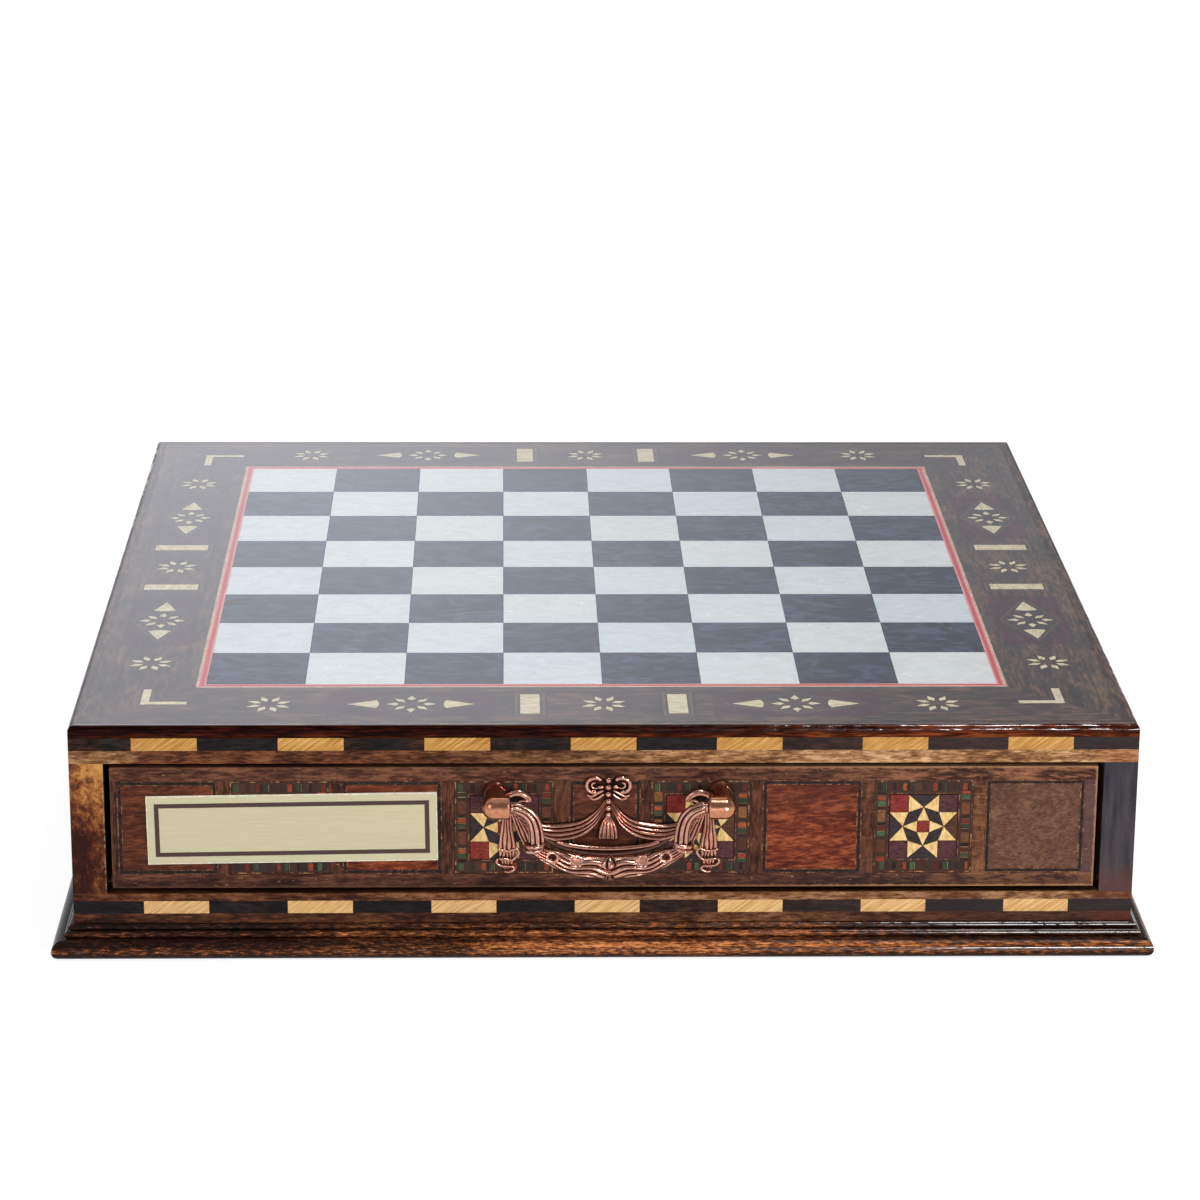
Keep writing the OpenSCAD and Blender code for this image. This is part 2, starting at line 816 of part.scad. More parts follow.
drawer_bottom(true);  // back_drawer_bottom
drawer_felt(true);  // back_drawer_felt
drawer_panels(true);  // back_drawer_panels
drawer_lines(true);  // back_drawer_lines
mosaic_borders(true);  // back_mosaic_borders
star_points(true);  // back_star_points
star_ground(true);  // back_star_ground
handle_plate(true);  // back_handle_plate
handle_posts(true);  // back_handle_posts
handle_screws(true);  // back_handle_screws
bail(true);  // back_bail
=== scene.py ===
from functools import reduce
from math import pi, radians

import bmesh
import bpy
import numpy as np
from mathutils import Matrix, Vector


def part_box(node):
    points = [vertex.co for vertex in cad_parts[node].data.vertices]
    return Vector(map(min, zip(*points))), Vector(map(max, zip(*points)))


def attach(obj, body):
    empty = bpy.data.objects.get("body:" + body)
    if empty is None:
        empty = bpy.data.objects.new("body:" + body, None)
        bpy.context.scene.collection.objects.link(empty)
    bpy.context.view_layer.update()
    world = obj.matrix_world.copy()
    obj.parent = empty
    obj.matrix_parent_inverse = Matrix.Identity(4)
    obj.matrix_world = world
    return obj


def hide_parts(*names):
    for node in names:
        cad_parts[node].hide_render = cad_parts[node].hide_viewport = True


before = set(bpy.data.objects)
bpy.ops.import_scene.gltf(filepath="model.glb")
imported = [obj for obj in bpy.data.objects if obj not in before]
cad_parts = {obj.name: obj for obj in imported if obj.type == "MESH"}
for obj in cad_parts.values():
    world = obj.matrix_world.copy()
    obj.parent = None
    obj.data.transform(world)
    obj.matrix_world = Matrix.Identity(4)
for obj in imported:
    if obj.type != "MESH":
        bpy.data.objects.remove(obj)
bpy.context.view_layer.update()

scene = bpy.context.scene
print("frame loaded:", len(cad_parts), "nodes")


# Camera and lamps

cameraView = {
    "place": (-0.0360, -1.48675, 0.54666),
    "turn": -1.490,  # degrees from straight ahead
    "tilt": 17.686,  # degrees downwards
    "roll": 0.406,
    "lens": 116.99,
}
lamps = {
    # name: place, point it faces, width, power
    "overhead": ((0.30, -0.35, 1.35), (0.02, -0.05, 0.05), 0.22, 9.0),
    "rightFront": ((0.95, -1.25, 0.75), (0.0, -0.15, 0.05), 0.45, 3.5),
    "glint": ((0.325, -1.25, 0.12), (0.1, -0.19, 0.05), 0.16, 5.0),
    "leftFront": ((-1.0, -1.2, 0.8), (0.0, -0.1, 0.05), 0.8, 4.0),
    "behind": ((0.0, 1.2, 1.7), (0.0, 0.15, 0.05), 0.9, 3.0),
}


def added(name, data):
    thing = bpy.data.objects.new(name, data)
    scene.collection.objects.link(thing)
    return thing


def aimed(place, target):
    # a turn that points -Z from place to target
    away = np.array(place) - np.array(target)
    away = away / np.linalg.norm(away)
    right = np.cross((0, 0, 1), away)
    right = right / np.linalg.norm(right)
    up = np.cross(away, right)
    return Matrix([[*row, 0] for row in np.stack([right, up, away], 1)] + [[0, 0, 0, 1]])


def addCamera():
    lens = bpy.data.cameras.new("camera")
    lens.lens, lens.sensor_width, lens.clip_end = cameraView["lens"], 36, 50
    scene.camera = added("camera", lens)
    turns = ((cameraView["turn"], "Z"), (90 - cameraView["tilt"], "X"), (cameraView["roll"], "Z"))
    place = Matrix.Translation(cameraView["place"])
    for angle, axis in turns:
        place = place @ Matrix.Rotation(radians(angle), 4, axis)
    scene.camera.matrix_world = place


def addLamps():
    for name, (place, target, width, power) in lamps.items():
        lamp = bpy.data.lights.new(name, "AREA")
        lamp.shape, lamp.size, lamp.energy = "SQUARE", width, power
        holder = added(name, lamp)
        holder.matrix_world = Matrix.Translation(place) @ aimed(place, target)
        holder.visible_camera = False
        holder.visible_glossy = name != "rightFront"  # the lacquer would mirror it whole in views from behind


# Node helpers: each adds to the tree that is being filled, and most give back one output

canvas = {"tree": None}
finishes = {}


class Value:
    # an output of a node; arithmetic with it adds Math nodes
    def __init__(self, socket):
        self.socket = socket

    def __add__(self, other):
        return calc("ADD", self, other)

    def __sub__(self, other):
        return calc("SUBTRACT", self, other)

    def __rsub__(self, other):
        return calc("SUBTRACT", other, self)

    def __mul__(self, other):
        return calc("MULTIPLY", self, other)

    def __truediv__(self, other):
        return calc("DIVIDE", self, other)

    def __gt__(self, other):
        return calc("GREATER_THAN", self, other)

    def __lt__(self, other):
        return calc("LESS_THAN", self, other)

    def __abs__(self):
        return calc("ABSOLUTE", self)


def addNode(kind, inputs=None, **settings):
    made = canvas["tree"].nodes.new("ShaderNode" + kind)
    for name, value in settings.items():
        setattr(made, name, value)
    for key, value in (inputs or {}).items():
        socket = made.inputs[key]
        if isinstance(value, Value):
            canvas["tree"].links.new(value.socket, socket)
        else:
            socket.default_value = (*value, 1) if socket.type == "RGBA" and len(value) == 3 else value
    return made


def output(kind, inputs=None, key=0, **settings):
    return Value(addNode(kind, inputs, **settings).outputs[key])


def calc(operation, *values, clamp=False):
    return output("Math", dict(enumerate(values)), operation=operation, use_clamp=clamp)


def calcVector(operation, *values):
    key = "Value" if operation == "LENGTH" else "Vector"
    return output("VectorMath", dict(enumerate(values)), key, operation=operation)


def most(*values):
    return reduce(lambda a, b: calc("MAXIMUM", a, b), values)


def least(*values):
    return reduce(lambda a, b: calc("MINIMUM", a, b), values)


def sign(value):
    return calc("SIGN", value)


def blend(share, first, second):
    return output("Mix", {0: share, 2: first, 3: second})


def mixed(share, first, second, mode="MIX"):
    return output("Mix", {0: share, 6: first, 7: second}, 2, data_type="RGBA", blend_type=mode)


def between(value, low, high, start=0.0, end=1.0):
    # start at low and end at high, with an eased step
    inputs = dict(enumerate((value, low, high, start, end)))
    return output("MapRange", inputs, interpolation_type="SMOOTHSTEP")


def paint(red, green, blue):
    # a colour as a paint chart gives it, 0 to 255, turned into linear light
    chart = np.array([red, green, blue]) / 255
    linear = np.where(chart <= 0.04045, chart / 12.92, ((chart + 0.055) / 1.055) ** 2.4)
    return tuple(float(v) for v in linear)


def ramp(share, stops):
    made = addNode("ValToRGB", {0: share})
    elements = made.color_ramp.elements
    while len(elements) < len(stops):
        elements.new(0.5)
    for element, (place, colour) in zip(elements, stops):
        element.position, element.color = place, (*colour, 1)
    return Value(made.outputs[0])


def shades(share, *tones, ends=(0.0, 1.0)):
    # paint tones at even steps from the first end to the last
    places = np.linspace(*ends, len(tones)).tolist()
    return ramp(share, [(place, paint(*tone)) for place, tone in zip(places, tones)])


def noise(place, scale, detail=2.0, roughness=0.5, distortion=0.0):
    names = ("Vector", "Scale", "Detail", "Roughness", "Distortion")
    return output("TexNoise", dict(zip(names, (place, scale, detail, roughness, distortion))))


def cellNoise(place):
    # a level and a colour that are the same all over each whole-numbered cell
    made = addNode("TexWhiteNoise", {"Vector": place}, noise_dimensions="3D")
    return [Value(socket) for socket in made.outputs]


def attribute(name, key):
    return output("Attribute", None, key, attribute_name=name)


def split(vector):
    return [Value(socket) for socket in addNode("SeparateXYZ", {0: vector}).outputs]


def joined(x, y, z):
    return output("CombineXYZ", {0: x, 1: y, 2: z})


def scaled(place, factors):
    return output("Mapping", {"Vector": place, "Scale": factors})


def leaning(place, degrees):
    # grain that rises to the right by this angle
    return output("Mapping", {"Vector": place, "Rotation": (0, radians(degrees), 0)})


def millimetres():
    return scaled(output("TexCoord", None, "Object"), (1000, 1000, 1000))


def raysSeen():
    # 1 for camera rays, 1 for mirrored rays, and 1 for either
    rays = addNode("LightPath").outputs
    seen = Value(rays["Is Camera Ray"])
    mirrored = most(Value(rays["Is Glossy Ray"]), Value(rays["Is Transmission Ray"]))
    return seen, mirrored, most(seen, mirrored)


def newFinish(name, start=millimetres):
    # starts a material and gives back what start reads in it
    material = finishes[name] = bpy.data.materials.new(name)
    material.use_nodes = True
    canvas["tree"] = material.node_tree
    canvas["tree"].nodes.clear()
    return start()


lacquer = 0.07  # how much the faces' flat lacquer mirrors
socketNames = {
    "metal": "Metallic",
    "coat": "Coat Weight",
    "coatRough": "Coat Roughness",
    "sheen": "Sheen Weight",
    "sheenRough": "Sheen Roughness",
    "sheenTint": "Sheen Tint",
}


def lay(colour, rough, height, depth, evenCoat=False, gloss=lacquer, **plain):
    # the shader itself; depth is the relief in millimetres, which an even coat fills
    bump = output("Bump", {"Height": height, "Strength": 1.0, "Distance": depth / 1000})
    values = {"Base Color": colour, "Roughness": rough, "Normal": bump, "Specular IOR Level": gloss}
    values.update({socketNames[name]: value for name, value in plain.items()})
    if not evenCoat:
        values["Coat Normal"] = bump
    addNode("OutputMaterial", {0: output("BsdfPrincipled", values)})


# World and floor

studio = {
    "worldLight": 0.5,
    "floorSize": 9.0,
    "floorLight": 0.8,  # how much light the floor gives back
    "floorGlow": 0.84,  # the seen floor's white, and what shadows can take from it
    "floorShadow": 0.32,
    # the mirrored backdrop is white up to the first height and fades to the last value at the second
    "horizon": (0.265, 0.33, 0.7),
    "rightSide": (-0.03, 0.155, 0.71),  # it dims by the last value from one side to the other
    "room": (0.1, 0.45, 0.32),  # on the camera's side it fades to the last value between two heights
    "bend": (0.27, 0.33),  # heights between which the dim side widens and deepens
    "mirrorTint": (0.94, 0.97, 1.06),
}


def addWorld():
    world = scene.world = bpy.data.worlds.new("studio")
    world.use_nodes = True
    canvas["tree"] = world.node_tree
    canvas["tree"].nodes.clear()
    seen, mirrored, either = raysSeen()
    x, y, z = split(output("TexCoord", None, "Generated"))
    low, high, above = studio["horizon"]
    level = between(z, low, high, 1.0, above)
    start, end, loss = studio["rightSide"]
    moved = x + between(z, *studio["bend"], 0.04, 0.0)
    dim = between(moved, start, end, 0.0, loss) * between(x, 0.5, 0.8, 1.0, 0.0)
    level = level * (1.0 - dim * between(z, *studio["bend"], 0.84, 1.0))
    low, high, room = studio["room"]
    level = blend(between(y, -0.15, 0.05), between(z, low, high, 1.0, room), level)
    strength = blend(either, studio["worldLight"], blend(seen, level, 1.0))
    cool = mixed(mirrored, (1, 1, 1), studio["mirrorTint"])
    addNode("OutputWorld", {0: output("Background", {"Color": cool, "Strength": strength})})


def addFloor():
    # a flat grid: both parameters run over the floor's width
    side = np.linspace(-0.5, 0.5, 9) * studio["floorSize"]
    across, along = np.meshgrid(side, side, indexing="ij")
    index = np.arange(across.size).reshape(across.shape)
    cells = np.stack([index[:-1, :-1], index[1:, :-1], index[1:, 1:], index[:-1, 1:]], -1).reshape(-1, 4)
    mesh = bpy.data.meshes.new("floor")
    mesh.from_pydata(np.stack([across, along, 0 * across], -1).reshape(-1, 3).tolist(), [], cells.tolist())
    mesh.update()
    floor = added("floor", mesh)
    _, _, either = newFinish("whiteFloor", raysSeen)
    colour = mixed(either, (studio["floorLight"],) * 3, (studio["floorShadow"],) * 3)
    white = output("Emission", {"Color": (1, 1, 1), "Strength": either * studio["floorGlow"]})
    matt = output("BsdfDiffuse", {"Color": colour})
    addNode("OutputMaterial", {0: output("AddShader", {0: matt, 1: white})})
    mesh.materials.append(finishes.pop("whiteFloor"))


# Wood

def stretched(place, along, share):
    # the pattern becomes 1 / share times as long along the grain
    return scaled(place, [share if axis == along else 1 for axis in "xyz"])


def figured(place, along="x", broad=0.1, fibre=1.1, spread=0.12, curl=0.6, length=1.0):
    # wood tone from 0, dark, to 1, light: clouds, streaks and fibres, each longer than the one before
    clouds = noise(stretched(place, along, 0.4 / length), broad, 3, 0.6, curl)
    streaks = noise(stretched(place, along, 0.2 / length), broad * 6.5, 3, 0.65, curl / 2)
    fibres = noise(stretched(place, along, 0.14 / length), fibre * 1.5, 4, 0.7)
    tone = clouds * 0.3 + streaks * 0.4 + fibres * 0.3
    return between(tone, 0.5 - spread, 0.5 + spread), fibres


def pored(place, along="x", size=2.4, start=0.6):
    # short dark dashes along the grain: 1 in a pore, 0 elsewhere
    return between(noise(stretched(place, along, 0.2), size, 2), start, start + 0.08)


def tinted(colour, share, other):
    return mixed(share, colour, paint(*other))


def darkened(colour, mask, share):
    return mixed(mask * share, colour, (0.006, 0.003, 0.002))


def facePlace():
    # left to right as seen from in front of each face, height, and the grain's own place along the face
    x, y, z = split(millimetres())
    atSide = abs(x) > abs(y)
    across = blend(atSide, x * (sign(y) * -1.0), y * (sign(x) * -1.0))
    return across, z, joined(blend(atSide, x, y), blend(atSide, y, x), z)


woods = {
    # tones from dark to light, grain direction, gloss and roughness
    "caseWalnut": ([(40, 23, 17), (70, 42, 29), (104, 66, 45)], "y", 0.3, 0.24),
    "frontWalnut": ([(38, 22, 16), (66, 39, 27), (98, 62, 42)], "x", 0.1, 0.3),
    "innerBeech": ([(168, 130, 90), (194, 156, 114), (212, 180, 140)], "y", 0.2, 0.55),
    "innerBeechAcross": ([(168, 130, 90), (194, 156, 114), (212, 180, 140)], "x", 0.2, 0.55),
    "innerPly": ([(162, 128, 94), (186, 152, 116), (204, 174, 140)], "x", 0.15, 0.6),
}


def addWoods():
    for name, (tones, along, gloss, rough) in woods.items():
        place = newFinish(name)
        tone, fibres = figured(place, along, length=2.2)
        colour = darkened(shades(tone, *tones), pored(place, along), 0.35)
        lay(colour, fibres * 0.12 + (rough - 0.06), fibres, 0.03, gloss=gloss)


# Chessboard and its border

board = {
    "square": 36.0,
    "motifRow": 166.0,
    "panelHalf": 13.2,  # half width of the band that holds the motifs
    "diamondAt": 69.0,
    "rhombus": (27.5, 12.4),
    "bars": (26.5, 3.5, 10.5),  # place along the side, half sizes
    "bumps": 0.012,
    "pinkLine": 145.4,
}


def polish(colour, rough, height, coat, gloss=0.5):
    # the board's clear coat over a faint relief
    lay(colour, rough, height, board["bumps"], gloss=gloss, coat=coat, coatRough=0.08)


def borderPlace():
    # folds the four borders onto one: along the side, distance out, and the grain's own place
    x, y, z = split(millimetres())
    atSide = abs(x) > abs(y)
    along = blend(atSide, x, y)
    return along, most(abs(x), abs(y)), joined(along, blend(atSide, y, x), z)


def borderBrown(along, out, turned):
    # stained walnut, browner towards both edges of the border, with faint joints between its blocks
    tone, fibres = figured(turned, "x", 0.08, 0.9, 0.14)
    middle = shades(tone, (22, 14, 15), (60, 42, 37), (112, 80, 56))
    edge = shades(tone, (28, 20, 16), (62, 46, 35), (112, 82, 58))
    row = abs(out - board["motifRow"])
    strip = between(row, board["panelHalf"] - 0.3, board["panelHalf"] + 0.5)
    colour = mixed(strip * 0.8, middle, edge)
    return darkened(colour, pored(turned), 0.4), tone, fibres, row


def addBorderFinishes():
    for name in ("borderWalnut", "diamondWood"):
        along, out, turned = newFinish(name, borderPlace)
        colour, tone, fibres, row = borderBrown(along, out, turned)
        side = abs(along)
        if name == "diamondWood":
            du = abs(side - board["diamondAt"])
            far = du / board["rhombus"][0] + row / board["rhombus"][1]
            purple = shades(tone, (34, 10, 20), (58, 20, 32), (84, 38, 44))
            grey = tinted(colour, 0.5, (44, 38, 40))
            colour = mixed(between(far, 0.98, 1.02), grey, purple)
            for edge, shade in ((1.0, (10, 8, 10)), (0.95, (96, 78, 66))):
                line = calc("COMPARE", far, edge, 0.024)
                colour = tinted(colour, line * 0.7, shade)
        else:
            line = calc("COMPARE", row, board["panelHalf"], 0.28)
            colour = tinted(colour, line * 0.55, (24, 16, 16))
            at, halfX, halfY = board["bars"]
            beside = abs(side - at) - halfX
            ring = most(beside, row - halfY)
            for edge, shade in ((2.4, (12, 10, 14)), (1.5, (104, 82, 68))):
                line = calc("COMPARE", ring, edge, 0.45)
                colour = tinted(colour, line * 0.6, shade)
        polish(colour, fibres * 0.1 + 0.14, fibres, 1.0, 0.45)

    # lipping: the border's brown on top, dark mahogany round its outer face with a painted glow of light that
    # grows to the right and towards the lower edge
    along, out, turned = newFinish("lipping", borderPlace)
    top, tone, fibres, row = borderBrown(along, out, turned)
    across, z, facing = facePlace()
    tone, fibres = figured(facing, "x", 0.2, 1.0, 0.13, 0.4, 2.2)
    # painted light: the mahogany is paler towards the right and along the lower edge
    paintedGlow = between(across, -60, 150) * 0.3 + between(z, 84.5, 82.5) * 0.14
    tone = tone * 0.58 + paintedGlow
    outer = shades(tone, (7, 2, 1), (24, 6, 4), (62, 23, 10), (128, 64, 28))
    rounded = between(out, 187.4, 188.6)
    x = split(millimetres())[0]
    # painted reflection: a pale grey added over the top, more to the left, so that it looks as glossy as the
    # border beside it
    top = mixed(between(x, 190, -190, 0.1, 0.85), top, paint(88, 86, 91), "ADD")
    colour = mixed(rounded, top, outer)
    ripple = noise(scaled(facing, (0.4, 1, 1)), 0.3, 3, 0.5)
    height = ripple * between(out, 187.0, 188.5)
    wet = between(z, 83.5, 85.2) * between(across, -40, 130)
    wet = most(1.0 - rounded, wet * between(ripple, 0.42, 0.58))
    lay(colour, 0.2, height, 0.35, gloss=0.03, coat=wet, coatRough=0.08)


pearl = {"swirl": 0.055, "flakes": 0.11}


def addPearls():
    # smoky shell: each square has its own tint and its own piece of the swirl
    looks = {
        "lightPearl": [(209, 212, 213), (215, 218, 219), (219, 222, 223)],
        "darkPearl": [(16, 23, 38), (34, 45, 64), (60, 74, 98)],
    }
    for name, tones in looks.items():
        place = newFinish(name)
        cell = calcVector("FLOOR", calcVector("DIVIDE", place, (board["square"],) * 3))
        level, own = cellNoise(calcVector("MULTIPLY", cell, (1, 1, 0)))
        moved = calcVector("ADD", place, calcVector("MULTIPLY", own, (600, 600, 600)))
        smoke = noise(scaled(moved, (1, 1.5, 1)), pearl["swirl"], 4, 0.5, 2.4)
        veil = noise(scaled(moved, (0.6, 1.6, 1)), pearl["swirl"] * 3, 3, 0.5, 3.0)
        tone = smoke * 0.7 + veil * 0.3
        colour = shades(between(tone, 0.36, 0.64), *tones)
        if name == "lightPearl":
            curve = abs(noise(scaled(moved, (1, 1.8, 1)), pearl["flakes"], 1, 0.5, 1.5) - 0.5)
            patch = noise(scaled(moved, (1, 1.4, 1)), 0.16, 2, 0.5)
            # pale shell flakes, painted near white so that they also stand for glints
            flake = between(curve, 0.016, 0.004) * between(patch, 0.58, 0.64)
            colour = tinted(colour, flake * 0.85, (250, 252, 254))
            tint = ramp(level, [(0.0, (0.86, 0.94, 1.0)), (0.5, (0.99, 1.0, 0.97)), (1.0, (0.93, 0.97, 1.0))])
        else:
            tint = ramp(level, [(0.0, (0.8, 0.82, 0.84)), (1.0, (1.12, 1.12, 1.12))])
        colour = mixed(1.0, colour, tint, "MULTIPLY")
        polish(colour, 0.13, smoke, 1.0 if name == "lightPearl" else 0.88)


def addInlayFinishes():
    for name, tones in {
        "creamInlay": [(176, 160, 128), (204, 192, 160), (220, 210, 180)],
        "paleLine": [(150, 118, 96), (192, 164, 142), (214, 190, 168)],
    }.items():
        along, out, turned = newFinish(name, borderPlace)
        tone, fibres = figured(turned, "x", 0.3, 1.6, 0.14)
        pits = between(noise(turned, 1.5, 2), 0.66, 0.72)
        colour = darkened(shades(tone, *tones), pits, 0.4)
        polish(colour, fibres * 0.15 + 0.14, pits, 0.8)

    # pink line: rose in the middle, paler along both edges, and rubbed here and there
    along, out, turned = newFinish("redLine", borderPlace)
    wander = noise(scaled(turned, (0.05, 1, 1)), 0.6, 3)
    middle = wander * 1.2 + abs(out - board["pinkLine"])
    colour = shades(between(middle, 0.6, 2.0), (186, 62, 70), (204, 96, 100), (222, 160, 154))
    colour = darkened(colour, between(noise(turned, 0.7, 3), 0.6, 0.72), 0.2)
    polish(colour, 0.2, wander, 0.8)


# Front and back faces

front = {
    "middle": 48.0,
    "bandHalf": 17.75,
    "drawer": (175.25, 25.2, 70.8),  # half width, low and high edge
    "tiles": (-115.4, -35.8, 34.0, 113.6),
    "leftShift": 1.8,  # the tiles and panels left of the middle lie farther out by this
    "panels": ((-155.2, 17.2), (-75.6, 17.2), (0.0, 12.2), (73.8, 17.2), (153.4, 17.2)),  # middle, half width
    "plate": (-111.0, 51.5, 12.8, 0.8),  # middle, half sizes, turn
    "blockPitch": 51.5,
    "secondPanels": 74.7,
    "starPoint": 5.5,
    "starCore": 2.3,
}


def addFaceFinishes():
    # strips: brown on the left, golden on the right, nearly black low on the right
    across, z, place = newFinish("faceStrips", facePlace)
    tone, fibres = figured(place, "x", 0.12, 1.2, 0.12)
    brown = shades(tone, (38, 18, 11), (84, 47, 29), (122, 76, 48))
    golden = shades(tone, (92, 56, 34), (160, 116, 76), (212, 172, 128))
    drift = noise(stretched(place, "x", 0.3), 0.06, 2) * 1.6 - 0.8
    upper = between(z, 60, 70)
    low = between(z, 18, 16)
    share = between(across, -80, 100) * (upper * 0.55 + 0.25)
    share = between(across, -163, -168) * (upper * 0.4) + share
    share = calc("ADD", share, drift, clamp=True)
    colour = mixed(share * (low * -0.8 + 1.0), brown, golden)
    dim = between(across, 40, 150) * low
    colour = tinted(colour, dim * 0.7, (42, 27, 24))
    colour = darkened(colour, low * between(across, 60, -60), 0.35)
    end = between(across, 173, 177)
    colour = tinted(colour, end * upper * 0.4, (132, 66, 38))
    colour = tinted(colour, end * (0.7 - upper), (84, 42, 32))
    colour = darkened(colour, pored(place), 0.55)
    lay(colour, fibres * 0.12 + 0.22, fibres, 0.04)

    # corner veneers: smooth golden and mahogany clouds on the left, charcoal on the right, whose grey tone is
    # partly a painted haze of mirrored light
    across, z, place = newFinish("cornerVeneer", facePlace)
    clouds = noise(scaled(place, (1, 1, 0.55)), 0.085, 3, 0.5, 0.5)
    speckle = noise(scaled(place, (1, 1, 0.6)), 1.0, 4, 0.75)
    upperGold = between(z, 41, 55) * 0.34
    innerGold = between(across, -186, -178.5) * 0.25
    gold = upperGold + innerGold + clouds + speckle * 1.1 + noise(place, 0.3, 3, 0.6) * 0.9
    left = shades(between(gold, 1.4, 2.3), (44, 18, 13), (84, 42, 25), (136, 82, 44), (184, 130, 72))
    knot = calcVector("LENGTH", joined((across + 182.5) * 0.7, z - 66.0, 0))
    left = darkened(left, between(knot, 1.8, 0.6), 0.6)
    dust = between(across, -178.1, -177.6) * between(noise(place, 0.9, 3, 0.7), 0.45, 0.6)
    left = tinted(left, dust * 0.7, (150, 146, 120))
    soft = z * -0.002 + noise(stretched(place, "z", 0.12), 0.4, 3)
    # partly painted haze: the grey of the right veneer stands in part for light that its lacquer mirrors
    right = shades(soft, (40, 39, 47), (68, 62, 65), ends=(0.2, 0.6))
    right = tinted(right, between(z, 36, 26, 0.0, 0.55), (90, 54, 42))
    colour = mixed(across > 0.0, left, right)
    lay(colour, speckle * 0.15 + 0.2, speckle, 0.03)

    # maple blocks with a slanting figure, each block its own; the lower row is paler
    across, z, place = newFinish("maple", facePlace)
    along, other, _ = split(place)
    own = calc("ROUND", across / front["blockPitch"])
    slant = joined(z * -1.35 + along, own * 31.7 + z * 0.12, 0)
    figure = noise(slant, 0.85, 4, 0.7, 0.2)
    tone = between(figure, 0.28, 0.72)
    upper = shades(tone, (140, 94, 42), (176, 128, 66), (204, 162, 100))
    lower = shades(tone, (168, 122, 72), (200, 158, 104), (220, 184, 134))
    colour = mixed(between(z, 50, 40), upper, lower)
    lay(colour, figure * 0.1 + 0.24, figure, 0.03)

    # dark blocks: near black, some brown or with a brown end
    across, z, place = newFinish("ebony", facePlace)
    tone, fibres = figured(place, "x", 0.2, 1.3, 0.13)
    own, _ = cellNoise(joined(calc("FLOOR", across / front["blockPitch"]), z > 40, 0))
    black = shades(tone, (14, 11, 12), (24, 20, 22), (34, 29, 31))
    brown = shades(tone, (18, 10, 8), (42, 25, 18), (70, 44, 32))
    fading = between(noise(place, 0.05, 2), 0.35, 0.65) * between(own, 0.35, 0.6)
    corner = between(abs(across + 190.0), 15, 9)
    fading = most(fading, corner * between(z, 40, 60))
    colour = mixed(fading, black, brown)
    # painted haze: greyer towards the right, as if the lacquer mirrored light there
    colour = tinted(colour, between(across, 0, 150) * 0.4, (62, 50, 52))
    lay(colour, fibres * 0.1 + 0.24, fibres, 0.02)


